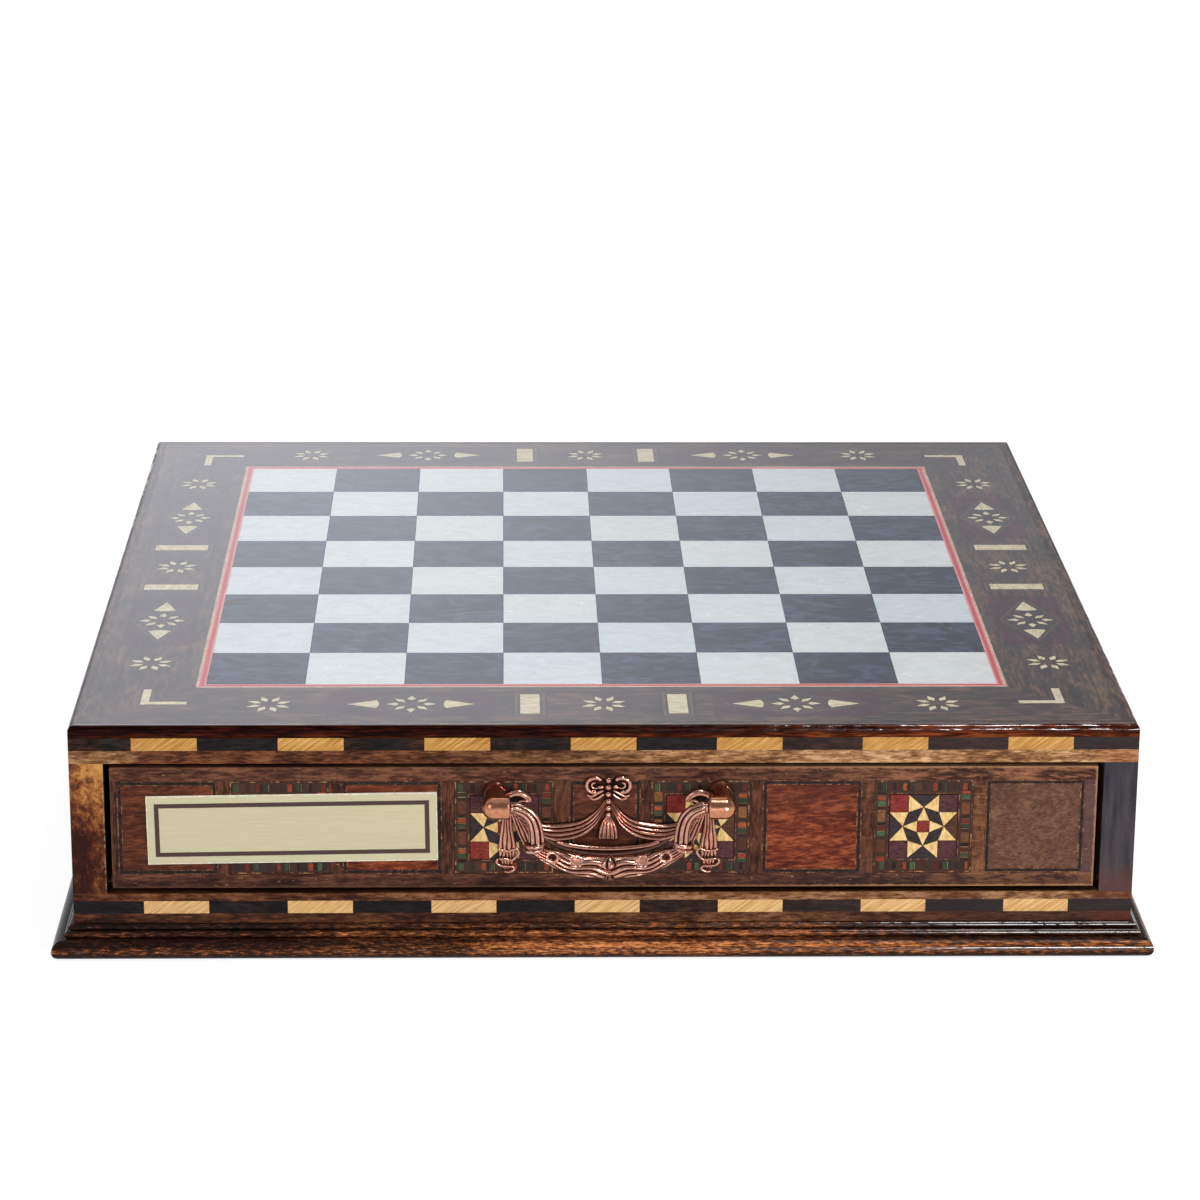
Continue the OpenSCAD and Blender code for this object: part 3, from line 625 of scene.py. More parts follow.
def addDrawerFinishes():
    # drawer front: rails with level grain over and under the band of panels, upright grain between the panels
    across, z, place = newFinish("drawerWalnut", facePlace)
    level, fibres = figured(place, "x", 0.1, 1.1, 0.13)
    upright, _ = figured(place, "z", 0.12, 1.1, 0.13)
    inBand = abs(z - front["middle"]) < front["bandHalf"]
    rails = shades(level, (38, 20, 15), (80, 48, 37), (122, 78, 58))
    stiles = shades(upright, (32, 17, 13), (66, 38, 28), (98, 60, 42))
    colour = mixed(inBand, rails, stiles)
    plum = between(across, 0, 110) * between(z, 33, 29)
    colour = tinted(colour, plum * 0.45, (58, 42, 44))
    worn = between(across, 60, 150) * between(level, 0.1, 0.9)
    colour = tinted(colour, worn * 0.4, (160, 108, 74))
    colour = darkened(colour, between(z, 32, 26), 0.5)
    endStile = between(across, 170, 171.5) * inBand
    colour = tinted(colour, endStile * 0.8, (82, 60, 60))
    half, lowEdge, highEdge = front["drawer"]
    rim = least(half - abs(across), highEdge - z, z - lowEdge)
    chafed = between(noise(place, 0.5, 3, 0.7) * -1.6 + rim, 0.1, -0.5)
    chafed = chafed * between(across, -60, 150, 0.1, 0.7)
    colour = tinted(colour, chafed, (158, 116, 82))
    nick = between(noise(stretched(place, "x", 0.4), 1.1, 2), 0.71, 0.75)
    colour = tinted(colour, nick * 0.5, (176, 132, 100))
    pores = blend(inBand, pored(place), pored(place, "z"))
    colour = darkened(colour, pores, 0.5)
    lay(colour, fibres * 0.12 + 0.24, fibres, 0.05)

    # panels: padauk in the second ones from the middle, plain walnut in the others
    across, z, place = newFinish("panelWood", facePlace)
    tone, fibres = figured(leaning(place, 4), "x", 0.12, 1.2, 0.13, 0.6)
    fleck, _ = figured(leaning(place, 14), "x", 0.24, 1.5, 0.14, 1.0, 0.5)
    red = shades(tone, (54, 18, 13), (104, 46, 29), (152, 82, 52))
    top = between(z, 46, 64) * 0.5
    red = tinted(red, top, (70, 38, 28))
    soft = shades(fleck * 0.5 + 0.27, (50, 32, 26), (88, 60, 48), (138, 100, 76))
    warm = shades(tone * 0.7 + 0.15, (38, 17, 13), (76, 38, 27), (122, 70, 46))
    plain = mixed(between(across, -20, 100), warm, soft)
    second = abs(abs(across) - front["secondPanels"])
    colour = mixed(second < 20, plain, red)
    colour = darkened(colour, pored(place), 0.45)
    lay(colour, fibres * 0.12 + 0.24, fibres, 0.05)

    place = newFinish("blackLine")
    scuffs = noise(place, 1.0, 3, 0.65)
    colour = ramp(scuffs, [(0.42, paint(24, 20, 21)), (0.6, paint(44, 37, 36)), (0.72, paint(84, 60, 44))])
    lay(colour, 0.35, scuffs, 0.04)

    place = newFinish("starCream")
    grain = noise(scaled(place, (1, 1, 0.4)), 1.3, 4, 0.65)
    colour = shades(grain, (176, 138, 80), (212, 178, 118), (228, 200, 148), ends=(0.3, 0.7))
    lay(colour, 0.3, grain, 0.04)

    # ground of the stars: purple corner squares, one of them red, a red middle and dark chips between
    across, z, place = newFinish("starGround", facePlace)
    shifted = abs(across) - (across < 0.0) * front["leftShift"]
    pair = blend(shifted > front["panels"][3][0], front["tiles"][2], front["tiles"][3])
    dx = (shifted - pair) * sign(across)
    dz = z - front["middle"]
    grain = noise(stretched(place, "x", 0.4), 1.5, 4, 0.6)
    purple = shades(grain, (54, 28, 32), (88, 56, 58), ends=(0.3, 0.7))
    red = shades(grain, (88, 26, 25), (136, 56, 50), ends=(0.3, 0.7))
    black = shades(grain, (34, 27, 29), (62, 52, 54), ends=(0.3, 0.7))
    brown = shades(grain, (58, 34, 26), (92, 60, 46), ends=(0.3, 0.7))
    wide, high = abs(dx), abs(dz)
    corner = least(wide, high) > front["starPoint"]
    flipped = calc("COMPARE", across, front["tiles"][1], 20.0)
    upwards = dz * (flipped * -2.0 + 1.0)
    topLeft = (dx < 0.0) * (upwards > 0.0)
    core = most(wide, high) < front["starCore"]
    rightPoint = (dx > 7.5) * (high < front["starPoint"])
    colour = mixed(corner, mixed(rightPoint, black, brown), purple)
    colour = mixed(most(corner * topLeft, core), colour, red)
    lay(colour, 0.3, grain, 0.03)

    # mosaic chips carry their own tint; the scuffed lines are rubbed away over most of their length
    place = newFinish("mosaic")
    own = attribute("tint", "Color")
    grain = noise(place, 1.3, 4, 0.65)
    colour = tinted(own, between(grain, 0.4, 0.72, 0.0, 0.6), (46, 31, 27))
    lay(colour, 0.3, grain, 0.05)
    place = newFinish("scuffedLine")
    own = attribute("tint", "Color")
    rubbed = between(noise(place, 0.35, 4, 0.75), 0.6, 0.52)
    grain = noise(stretched(place, "x", 0.2), 1.2, 3)
    bare = shades(grain, (46, 26, 19), (84, 50, 36), ends=(0.35, 0.65))
    lay(mixed(rubbed, own, bare), 0.35, rubbed, 0.03)
    place = newFinish("glueLine")
    blotch = noise(place, 0.8, 3)
    colour = shades(blotch, (26, 20, 22), (52, 42, 40), ends=(0.35, 0.7))
    polish(colour, 0.2, blotch, 1.0)


# Plinth, metal and felt

plinth = {"crests": (3.5, 8.25, 10.8), "dashes": 0.56}
coppers = {
    # darker and lighter metal
    "copper": ((0.4, 0.18, 0.125), (0.58, 0.31, 0.235)),
    "postCopper": ((0.42, 0.165, 0.09), (0.56, 0.25, 0.15)),
}


def addOtherFinishes():
    # plinth: nearly black in the hollows, rubbed through to short orange dashes of grain on the crests
    across, z, place = newFinish("plinthStain", facePlace)
    fibres = noise(stretched(place, "x", 0.18), 1.7, 4, 0.75, 0.3)
    broad = noise(stretched(place, "x", 0.3), 0.09, 2)
    over = [z - crest for crest in plinth["crests"]]
    crest = most(*(between(abs(gap), 2.2, 0.3) for gap in over))
    brim = most(*(between(abs(gap), 1.3, 0.5) * between(gap, -0.5, 0.0) for gap in over))
    mood = broad * 0.25 + (crest * 0.14 + fibres)
    nose = between(z, 8, 6)
    shoulder = between(z, 4.4, 5.4) * between(z, 6.9, 6.1, 0.0, 0.17)
    middleShare = nose * 0.01 + 0.09 + shoulder
    mood = between(across, -190, 20) * middleShare + mood
    mood = between(across, 40, 150) * (nose * 0.07 - 0.13) + mood
    mood = mood - between(z, 9.3, 10.0, 0.02, 0.09)
    mood = mood - between(across, -90, -160) * between(z, 6.0, 7.0, 0.0, 0.06)
    colour = ramp(mood, [(0.5, paint(12, 7, 6)), (0.68, paint(34, 18, 12)), (0.88, paint(92, 52, 30))])
    worn = between(mood, plinth["dashes"] + 0.22, plinth["dashes"] + 0.34)
    colour = tinted(colour, worn * 0.85, (156, 88, 44))
    spark = between(mood, plinth["dashes"] + 0.34, plinth["dashes"] + 0.4)
    colour = tinted(colour, spark * 0.8, (206, 142, 86))
    patches = noise(stretched(place, "x", 0.3), 0.7, 4, 0.7)
    wet = between(across, -80, 80) * 0.07 + between(across, 80, 160) * 0.12 + patches
    wet = between(wet, 0.57, 0.64) * brim
    lay(colour, fibres * 0.15 + 0.14, fibres, 0.09, True, coat=wet, coatRough=0.1)

    # antique copper: bright on the crests, nearly black where its hollow level is high, which is partly
    # tarnish and partly painted shade in grooves, behind parts and on dark backing pieces
    for name, (dark, light) in coppers.items():
        place = newFinish(name)
        hollow = attribute("hollow", "Fac")
        cloud = noise(place, 0.6, 3)
        bright = ramp(cloud, [(0.3, dark), (0.7, light)])
        # tarnish and painted shade: the hollow level turns the metal nearly black and rougher
        tarnishAndShade = between(cloud * 0.3 + hollow, 0.25, 0.8)
        colour = mixed(tarnishAndShade, bright, (0.018, 0.007, 0.006))
        lay(colour, tarnishAndShade * 0.3 + 0.18, noise(place, 1.3, 2), 0.03, gloss=0.5, metal=1.0)

    place = newFinish("steel")
    cloud = noise(scaled(place, (1, 0.2, 1)), 2.0, 3)
    colour = ramp(cloud, [(0.3, (0.42, 0.42, 0.43)), (0.7, (0.6, 0.6, 0.6))])
    lay(colour, cloud * 0.2 + 0.25, cloud, 0.02, gloss=0.5, metal=1.0)

    # name plate: pale champagne with one dark line round it and nibbled edges
    place = newFinish("namePlate")
    x, _, z = split(place)
    middle, halfX, halfZ, turn = front["plate"]
    dx, dz = x - middle, z - front["middle"]
    c, s = float(np.cos(radians(turn))), float(np.sin(radians(turn)))
    u = dx * c + dz * s
    w = dz * c - dx * s
    wobble = noise(place, 1.4, 3) * 0.16 - 0.08
    inset = least(halfX - abs(u), halfZ - abs(w))
    line = between(abs(inset + wobble - 3.6), 0.9, 0.74)
    brushed = noise(scaled(place, (0.06, 1, 1)), 1.8, 3)
    colour = shades(brushed, (180, 172, 140), (187, 179, 148), ends=(0.3, 0.7))
    nibble = between(noise(place, 0.8, 3, 0.7) * -1.3 + inset, -0.35, -0.55)
    colour = tinted(tinted(colour, line, (62, 38, 36)), nibble * 0.7, (236, 232, 216))
    lay(colour, 0.38, brushed * 0.1 - line, 0.06, gloss=0.3)

    place = newFinish("redFelt")
    nap = noise(place, 1.6, 4, 0.7)
    colour = shades(nap, (84, 14, 22), (122, 28, 38), ends=(0.3, 0.7))
    lay(colour, 0.95, nap, 0.2, gloss=0.1, sheen=0.5, sheenRough=0.5, sheenTint=(0.9, 0.5, 0.5))


# Shapes: shells of rows by columns, in millimetres, that become one mesh per piece

def smoothPath(points, count):
    # Catmull-Rom curve: a cubic between two points whose slopes come from their neighbours
    p = np.array(points, float)
    padded = np.concatenate([2 * p[:1] - p[1:2], p, 2 * p[-1:] - p[-2:-1]])
    at = np.linspace(0, len(p) - 1, count)
    k = np.minimum(at.astype(int), len(p) - 2)
    u = (at - k)[:, None]
    a, b, c, d = (padded[k + i] for i in range(4))
    return 0.5 * (2 * b + (c - a) * u + (2 * a - 5 * b + 4 * c - d) * u**2 + (3 * b - a - 3 * c + d) * u**3)


def spanned(half):
    # the whole of a row of points whose last one lies in the middle
    return [(-x, z) for x, z in half] + half[-2::-1]


def carried(path, radius, sides, lobes=0, lobeDepth=0.0):
    # ring carried along a path of (x, out, z):
    # centre + radius * (1 + lobeDepth * cos(lobes * a)) * (cos a * side + sin a * out)
    path = np.asarray(path, float)
    tangent = np.gradient(path, axis=0)
    tangent /= np.linalg.norm(tangent, axis=1, keepdims=True)
    out = np.array([0.0, 1.0, 0.0]) - tangent * tangent[:, 1:2]
    out /= np.linalg.norm(out, axis=1, keepdims=True)
    side = np.cross(tangent, out)
    angle = np.linspace(0, 2 * pi, sides, endpoint=False)
    wave = np.cos(lobes * angle) if lobes else np.zeros(sides)
    reach = np.asarray(radius)[:, None] * (1 + lobeDepth * wave)
    ring = np.cos(angle)[:, None] * side[:, None] + np.sin(angle)[:, None] * out[:, None]
    # darker between the lobes, tarnish and painted shade; on a plain tube darker on the half that faces the
    # plate, painted shade
    hollow = np.where(lobes > 0, (0.5 - 0.5 * wave) ** 4, np.clip(-np.sin(angle), 0, 1) ** 2)
    return path[:, None] + reach[..., None] * ring, np.broadcast_to(hollow, reach.shape)


def tapered(count, radius, tip):
    # radius along a tube that rounds off at both ends
    t = np.linspace(-1, 1, count)
    return radius * np.sqrt(np.clip(1 - np.abs(t) ** (1 / tip), 0.0004, 1))


def tube(points, radius, out, count, sides, tip):
    # round tube through points of (x, z), its middle line at distance out
    line = smoothPath(points, count)
    path = np.stack([line[:, 0], np.full(count, out), line[:, 1]], 1)
    return carried(path, tapered(count, radius, tip), sides)


def relief(upper, lower, height, count, steps):
    # sheet between two edge curves: (1 - s) * upper(t) + s * lower(t), raised by height(s, t),
    # and less where it is narrow
    top, bottom = smoothPath(upper, count), smoothPath(lower, count)
    t, s = np.linspace(0, 1, count)[:, None], np.linspace(0, 1, steps)[None]
    raised, hollow = height(s, t)
    flatPlace = (1 - s[..., None]) * top[:, None] + s[..., None] * bottom[:, None]
    wide = np.linalg.norm(top - bottom, axis=1)[:, None]
    raised = raised * (0.3 + 0.7 * wide / wide.max())
    face = np.stack([flatPlace[..., 0], np.broadcast_to(raised, flatPlace.shape[:2]), flatPlace[..., 1]], -1)
    back = face[:, [-1, 0]] * (1, 0, 1)
    # the flat back is fully dark: painted shade
    dark = np.concatenate([np.broadcast_to(hollow, face.shape[:2]), np.ones((count, 2))], 1)
    return np.concatenate([face, back], 1), dark


def turned(profile, centre, axis="z", sides=24, lobes=0, lobeDepth=0.0):
    # profile of (radius, height) turned about an axis through centre, with lobes round it
    angle = np.linspace(0, 2 * pi, sides, endpoint=False)
    wave = np.cos(lobes * angle) if lobes else np.zeros(sides)
    line = np.array(profile, float)
    reach = line[:, :1] * (1 + lobeDepth * wave)
    level = np.broadcast_to(line[:, 1:], reach.shape)
    a, b = reach * np.cos(angle), reach * np.sin(angle)
    points = {"z": (a, b, level), "x": (level, a, b), "out": (a, level, b)}[axis]
    # darker between the lobes: tarnish and painted shade
    hollow = np.broadcast_to((0.5 - 0.5 * wave) ** 4 * (lobes > 0), reach.shape)
    return np.stack(points, -1) + np.array(centre), hollow


def ringAbout(centre, major, minor, tilt=0.0, sides=40):
    # ring round the z axis: distance major + minor * cos b, height minor * sin b, then tilted in x and z
    a, b = (np.linspace(0, 2 * pi, count, endpoint=False) for count in (sides, 12))
    a, b = np.meshgrid(a, b, indexing="ij")
    swell = minor * (1 + 0.1 * np.cos(9 * a + 2 * b))
    reach = major + swell * np.cos(b)
    x, y, z = reach * np.cos(a), reach * np.sin(a), swell * np.sin(b)
    c, s = np.cos(tilt), np.sin(tilt)
    # darker on the inner half of the ring, against the arm: painted shade and tarnish
    return np.stack([c * x + s * z, y, c * z - s * x], -1) + np.array(centre), np.clip(-np.cos(b), 0, 1)


def bothSides(shells):
    return shells + [(points * (-1, 1, 1), hollow) for points, hollow in shells]


def shellFaces(rows, columns, start, loop=False):
    # cells of a grid whose columns close into a ring; the ends are capped, or closed too when loop is set
    index = start + np.arange(rows * columns).reshape(rows, columns)
    below = np.roll(index, -1, 0) if loop else index[1:]
    above = index if loop else index[:-1]
    cells = np.stack([above, below, np.roll(below, -1, 1), np.roll(above, -1, 1)], -1).reshape(-1, 4).tolist()
    return cells if loop else cells + [index[0].tolist(), index[-1][::-1].tolist()]


def inPlace(points, back):
    # from (x, out, z) in millimetres to metres; out is away from the box
    # the back's pieces are turned half round
    return points * (-0.001, 0.001, 0.001) if back else points * (0.001, -0.001, 0.001)


def shellPiece(name, shells, back=False, loops=(), sharp=50):
    # one mesh from the shells; the ones whose numbers are in loops close end to end
    points, faces, dark, start = [], [], [], 0
    for number, (shell, hollow) in enumerate(shells):
        rows, columns = shell.shape[:2]
        faces += shellFaces(rows, columns, start, number in loops)
        points.append(shell.reshape(-1, 3))
        dark.append(np.broadcast_to(hollow, (rows, columns)).reshape(-1))
        start += rows * columns
    mesh = bpy.data.meshes.new(name)
    mesh.from_pydata(inPlace(np.concatenate(points), back).tolist(), [], faces)
    # the hollow level of each point: tarnish and painted shade for the copper finish
    tarnishAndShadeLevel = mesh.attributes.new("hollow", "FLOAT", "POINT")
    tarnishAndShadeLevel.data.foreach_set("value", np.concatenate(dark).astype(np.float32))
    closeMesh(mesh)
    mesh.polygons.foreach_set("use_smooth", np.ones(len(mesh.polygons), bool))
    mesh.set_sharp_from_angle(angle=radians(sharp))
    return added(name, mesh)


def closeMesh(mesh):
    work = bmesh.new()
    work.from_mesh(mesh)
    bmesh.ops.remove_doubles(work, verts=work.verts, dist=2e-7)
    bmesh.ops.dissolve_degenerate(work, edges=work.edges, dist=1e-8)
    bmesh.ops.recalc_face_normals(work, faces=work.faces)
    work.to_mesh(mesh)
    work.free()


def settle(piece, body, slotName, finish, *stoodFor):
    piece.data.materials.append(finishes[finish])
    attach(piece, body)
    if stoodFor:
        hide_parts(*stoodFor)


# Handle: a cast backplate with bow, beads, tassel and drapes, and a bail with ribbed arms and a garland

handle = {
    "middle": 1.2,
    "postX": 40.0,
    "axisZ": 61.05,
    "face": 189.5,  # drawer front, out from the middle
    "axisOut": 204.5,
    "beads": (5.45, 2.8, 0.15, -2.5, -5.1, -7.65),
    "beadR": 1.14,
    "holeAt": (20.0, -17.9),
    "holeR": 1.45,
    "dentAt": (11.6, -19.6),
}


def folds(count, base, rise, crown, deep, sway=0.03):
    # pleats across s: base + crown * sin(pi s) + rise * |sin(pi * count * s)|, swaying a little with t
    def height(s, t):
        phase = count * (s + sway * np.sin(2 * pi * (1.3 * t + s)) * np.sin(pi * s))
        crest = np.abs(np.sin(pi * phase))
        # the second value darkens the creases between pleats: tarnish and painted shade
        return base + crown * np.sin(pi * s) + rise * crest**0.7, (1 - crest) ** deep
    return height


def tasselHeight(s, t):
    # five cords side by side, thick in the middle and rounded at the lower end
    crest = np.abs(np.sin(pi * 5 * s))
    full = np.clip(1 - np.abs(2 * s - 1) ** 4, 0, 1)
    end = np.sqrt(np.clip(1 - np.clip((t - 0.9) / 0.1, 0, 1) ** 2, 0, 1))
    # the second value darkens the grooves between cords: tarnish and painted shade
    return 0.5 + end * (0.9 + 0.7 * full + 0.55 * crest**0.9), (1 - crest) ** 4 * np.ones_like(t)


# per sheet: upper edge, lower edge, folds, mesh rows and columns
drapes = [
    ([(0.9, -1.4), (4.2, -6.2), (8.9, -9.6), (14.8, -11.0), (22.5, -11.3), (29, -9.0), (35, -4.6)],
     [(0.6, -6.2), (2.1, -7.9), (4.2, -12.1), (7.9, -15.5), (12.7, -17.3),
      (19.5, -17.4), (28, -13.6), (35.5, -7.5)],
     (4, 0.6, 1.3, 0.7, 3.2), 150, 90),
    ([(32.2, -4.5), (29.8, -9.5), (27.6, -14), (25.6, -17.6)],
     [(35.2, -5), (34, -10.5), (32.4, -15), (30.6, -19.4)],
     (4, 0.5, 0.8, 0.5, 3.2), 60, 60),
    ([(34.4, -7.5), (34.0, -12), (33.2, -16.5), (32.4, -20.6)],
     [(37.4, -7.5), (38.1, -12), (38.8, -16.5), (39.3, -20.8)],
     (4, 0.9, 0.8, 0.5, 4.5), 60, 60),
    ([(32.8, -20.6), (33.0, -23), (33.4, -25.0)], [(39.0, -20.8), (38.9, -23.2), (38.6, -25.2)],
     (5, 0.7, 0.55, 0.4, 4.0), 30, 60),
    ([(33.6, -25.0), (33.8, -27.2), (34.2, -28.8)], [(38.4, -25.2), (38.0, -27.4), (37.0, -28.8)],
     (4, 0.5, 0.5, 0.4, 4.0), 24, 40),
]
# per cord of the bow, the leaves and the hems: middle line, radius, distance out, rows, columns, tip
cords = [
    ([(2.7, 5.0), (3.2, 5.7), (4.4, 6.1), (5.9, 5.85), (7.1, 5.0),
      (7.7, 3.7), (7.55, 2.3), (6.7, 1.2), (5.4, 0.75), (4.2, 1.0)], 0.72, 1.5, 90, 16, 0.05),
    ([(1.6, 1.5), (2.9, 0.9), (4.1, 0.2), (5.2, -0.5), (6.5, -0.8), (7.7, -0.1)], 0.55, 1.4, 54, 12, 0.1),
    ([(1.5, 0.2), (2.6, -0.9), (3.9, -1.7), (5.2, -2.0), (6.6, -1.5)], 0.55, 1.1, 50, 12, 0.1),
    ([(4.6, 4.3), (5.5, 4.1), (5.95, 3.3), (5.6, 2.5), (4.7, 2.2), (3.8, 2.4)], 0.42, 1.3, 50, 12, 0.08),
    ([(1.5, 2.9), (2.6, 2.8), (3.9, 2.5)], 0.7, 1.6, 30, 14, 0.35),
    ([(36.5, -1.8), (35.2, 0.1), (33.5, 0.9), (31.6, 1.0), (29.9, 0.3), (28.4, -0.9), (27.3, -2.6)],
     1.25, 2.6, 48, 16, 0.3),
    ([(32.4, -3.2), (31.2, -2.3), (29.6, -2.0), (27.9, -2.6)], 0.5, 2.4, 30, 12, 0.25),
    ([(39.5, -20.4), (37.5, -21.1), (35, -21.1), (32.6, -20.4), (31.7, -21.6),
      (32.4, -23.2), (34.2, -24.6), (37.0, -24.3), (39.0, -24.2)], 0.5, 2.1, 80, 12, 0.05),
    ([(39.2, -24.2), (39.7, -25.6), (38.4, -26.9), (36.0, -27.2),
      (33.8, -27.4), (33.5, -28.6), (35.2, -29.4), (37.0, -29.2)], 0.5, 1.6, 80, 12, 0.05),
    ([(17.5, -17.6), (21, -16.6), (25, -14.9), (28, -12.8)], 0.5, 1.3, 40, 12, 0.1),
]
# per turned piece: profile, middle, axis, sides, level of tarnish and painted shade; the first and the last
# are dark discs of painted shade behind the bow's loop and the leaf
mounts = [
    ([(0.01, 0.5), (3.3, 0.5), (3.7, 0.3), (3.9, 0), (0.01, 0)], (4.2, 0, 2.4), "out", 40, 1.0),
    ([(0.01, 3), (3.95, 3), (4.1, 2.3), (4.5, 1.6), (4.8, 1), (4.8, 0), (0.01, 0)],
     (handle["postX"], 0, 0), "out", 48, 0.2),
    ([(0.01, 0.8), (2.4, 0.8), (2.9, 0.4), (3, 0), (0.01, 0)], (31.8, 0, -1.6), "out", 32, 0.9),
]
rails = [
    ([(18.2, -17.6), (17.2, -18.3), (13.6, -19.4), (7, -20.3), (0, -20.6)], 0.8, 1.4, 120, 14, 0.03),
    ([(23, -16.4), (17.5, -19.6), (12, -21.4), (6, -22.4), (0, -22.7)], 0.7, 0.9, 90, 12, 0.06),
]
lipProfile = [
    (1.75, 35.0), (3.9, 35.0), (4.25, 35.1), (4.38, 35.35), (4.25, 35.65), (3.9, 35.7), (1.75, 35.7)]
tasselEdge = [(0.7, -8.2), (1.5, -9.4), (2.5, -10.8), (3.2, -12.8), (3.6, -15.0), (3.8, -17.2)]
groundEdge = [(1.3, 5), (1.5, 0), (1.2, -8.6)]


def plateShells():
    # sheets between edge curves, tubes along curves and turned profiles, mirrored to both sides
    # the two lips come first, because addHandles closes them end to end
    lips = bothSides([(turned(lipProfile, (0, 15, 0), "x", 40)[0], 0)])
    half = [relief(upper, lower, folds(*pleats), *size) for upper, lower, pleats, *size in drapes]
    half += [tube(*cord) for cord in cords]
    half += [(turned(*mount)[0], dark) for *mount, dark in mounts]
    rail, lowRail = (tube(spanned(line), *rest) for line, *rest in rails)
    tassel = relief(np.array(tasselEdge) * (-1, 1), tasselEdge, tasselHeight, 80, 80)
    angle = np.linspace(0, pi, 13)
    ball = handle["beadR"] * np.stack([np.maximum(np.sin(angle), 0.005), np.cos(angle)], 1)
    beads = [turned(ball, (0, 1.9, z), "z", 20) for z in handle["beads"]]
    # a strip behind the beads, fully dark: a sheet of painted shade between them
    ground = relief(
        np.array(groundEdge) * (-1, 1), groundEdge, lambda s, t: (0.9 + 0 * s * t, 1 + 0 * s * t), 20, 8)
    return [*lips, *bothSides(half), rail, (lowRail[0], 0.45), tassel, *beads, ground]


def garland(count=260, steps=60):
    # crescent between two arcs: (1 - s) * top(t) + s * bottom(t), rounded over from edge to edge,
    # with wavy folds |sin(pi * (4.1 s + wave))| on its outer face, two round dents and two raised rims
    top = smoothPath(spanned([(24, -14.2), (20, -15.2), (16.2, -16.3), (9.5, -17.7), (0, -18.1)]), count)
    bottom = smoothPath(spanned([
        (28.6, -15.2), (25.4, -18.2), (22.2, -20.8), (18.4, -22.8), (14.2, -24.5), (9.5, -25.7), (4.7, -26.2),
        (0, -26.4)]), count)
    t, s = np.linspace(-1, 1, count)[:, None], np.linspace(0.0, 1, steps)[None]
    place = (1 - s[..., None]) * top[:, None] + s[..., None] * bottom[:, None]
    side = np.abs(t)
    wave = 0.5 * np.sin(2 * pi * (2.1 * side - 0.3 * s)) * np.clip(1.1 - side, 0, 1) + 0.8 * side * s
    crest = np.abs(np.sin(pi * (4.1 * s + wave)))
    round_ = np.clip(1 - (2 * s - 1) ** 4, 0, 1) ** 0.5
    dent = np.hypot(np.abs(place[..., 0]) - handle["dentAt"][0], place[..., 1] - handle["dentAt"][1])
    hole = np.hypot(np.abs(place[..., 0]) - handle["holeAt"][0], place[..., 1] - handle["holeAt"][1])
    rim = np.exp(-((dent - 2.0) / 0.3) ** 2) + np.exp(-((hole - 1.85) / 0.35) ** 2)
    away = np.clip((np.minimum(dent, hole) - 1.9) / 0.8, 0, 1)
    sunk = np.clip((1.9 - dent) / 0.4, 0, 1)
    face = round_ * (1.7 + 0.9 * crest**0.8 * away + 0.5 * (1 - away) + 0.15 * rim - 0.4 * sunk)
    # darker in the creases between folds and in the dents, and the rear a little: tarnish and painted shade
    hollow = np.clip((1 - crest) ** 2.2 * away + 0.36 * sunk, 0, 1)
    outer = np.stack([place[..., 0], face, place[..., 1]], -1)
    rear = np.stack([place[..., 0], -1.9 * round_ * np.ones_like(face), place[..., 1]], -1)[:, ::-1][:, 1:-1]
    return np.concatenate([outer, rear], 1), np.concatenate([hollow, 0.3 * np.ones(rear.shape[:2])], 1)


armLine = [(34.4, 0), (32.6, -0.1), (29.4, -1.5), (27.1, -4.1), (26.0, -7.6), (25.6, -11.2), (25.6, -14.6)]
neckProfile = [
    (0.01, 30), (1.25, 30.05), (1.25, 33.6), (1.8, 33.9), (1.9, 34.3), (1.7, 34.8), (1.25, 35.0),
    (1.25, 39.5), (0.01, 39.55)]
budProfile = [
    (0.02, -17.4), (0.8, -17.9), (2.1, -18.8), (2.9, -20.0), (2.9, -20.9), (1.9, -21.9), (0.8, -22.3),
    (0.6, -22.8), (0.9, -23.2), (0.5, -23.6), (0.7, -24.1), (1.3, -24.9), (1.9, -25.6), (1.4, -26.2),
    (0.02, -26.4)]


def bailShells():
    # arm: a ribbed tube carried along its line; neck and bud: turned profiles; collars: wavy rings
    bend = smoothPath(armLine, 70)
    path = np.stack([bend[:, 0], 0 * bend[:, 0], bend[:, 1]], 1)
    reach = np.interp(np.linspace(0, 1, 70), [0, 0.03, 0.12, 0.5, 1], [0.4, 1.6, 1.9, 2.4, 2.75])
    arm = carried(path, reach, 84, 7, 0.1)
    neck = turned(neckProfile, (0, 0, 0), "x", 24)
    collars = [ringAbout((26.0, 0, -13.6), 3.3, 0.8, 0.12), ringAbout((26.3, 0, -15.2), 3.3, 0.75, 0.18)]
    bud = turned(budProfile, (0, 1.6, 0), "z", 40, 5, 0.09)
    return bothSides([arm, neck]), bothSides(collars), bud


def addHandles():
    for where in ("front", "back"):
        back = where == "back"
        plate = shellPiece(where + "_handle_relief", hung(plateShells(), handle["face"]), back, (0, 1))
        settle(plate, where + "_drawer", "copper", "copper", where + "_handle_plate")
        solids, rings, bud = bailShells()
        piece = shellPiece(where + "_bail_relief", hung([garland()], handle["axisOut"]), back)
        drillHoles(piece, back)
        loops = range(len(solids), len(solids) + len(rings))
        joinMeshes(piece, shellPiece("rest", hung([*solids, *rings, bud], handle["axisOut"]), back, loops))
        settle(piece, where + "_bail", "copper", "copper", where + "_bail")


def hung(shells, out):
    return [(points + (handle["middle"], out, handle["axisZ"]), hollow) for points, hollow in shells]


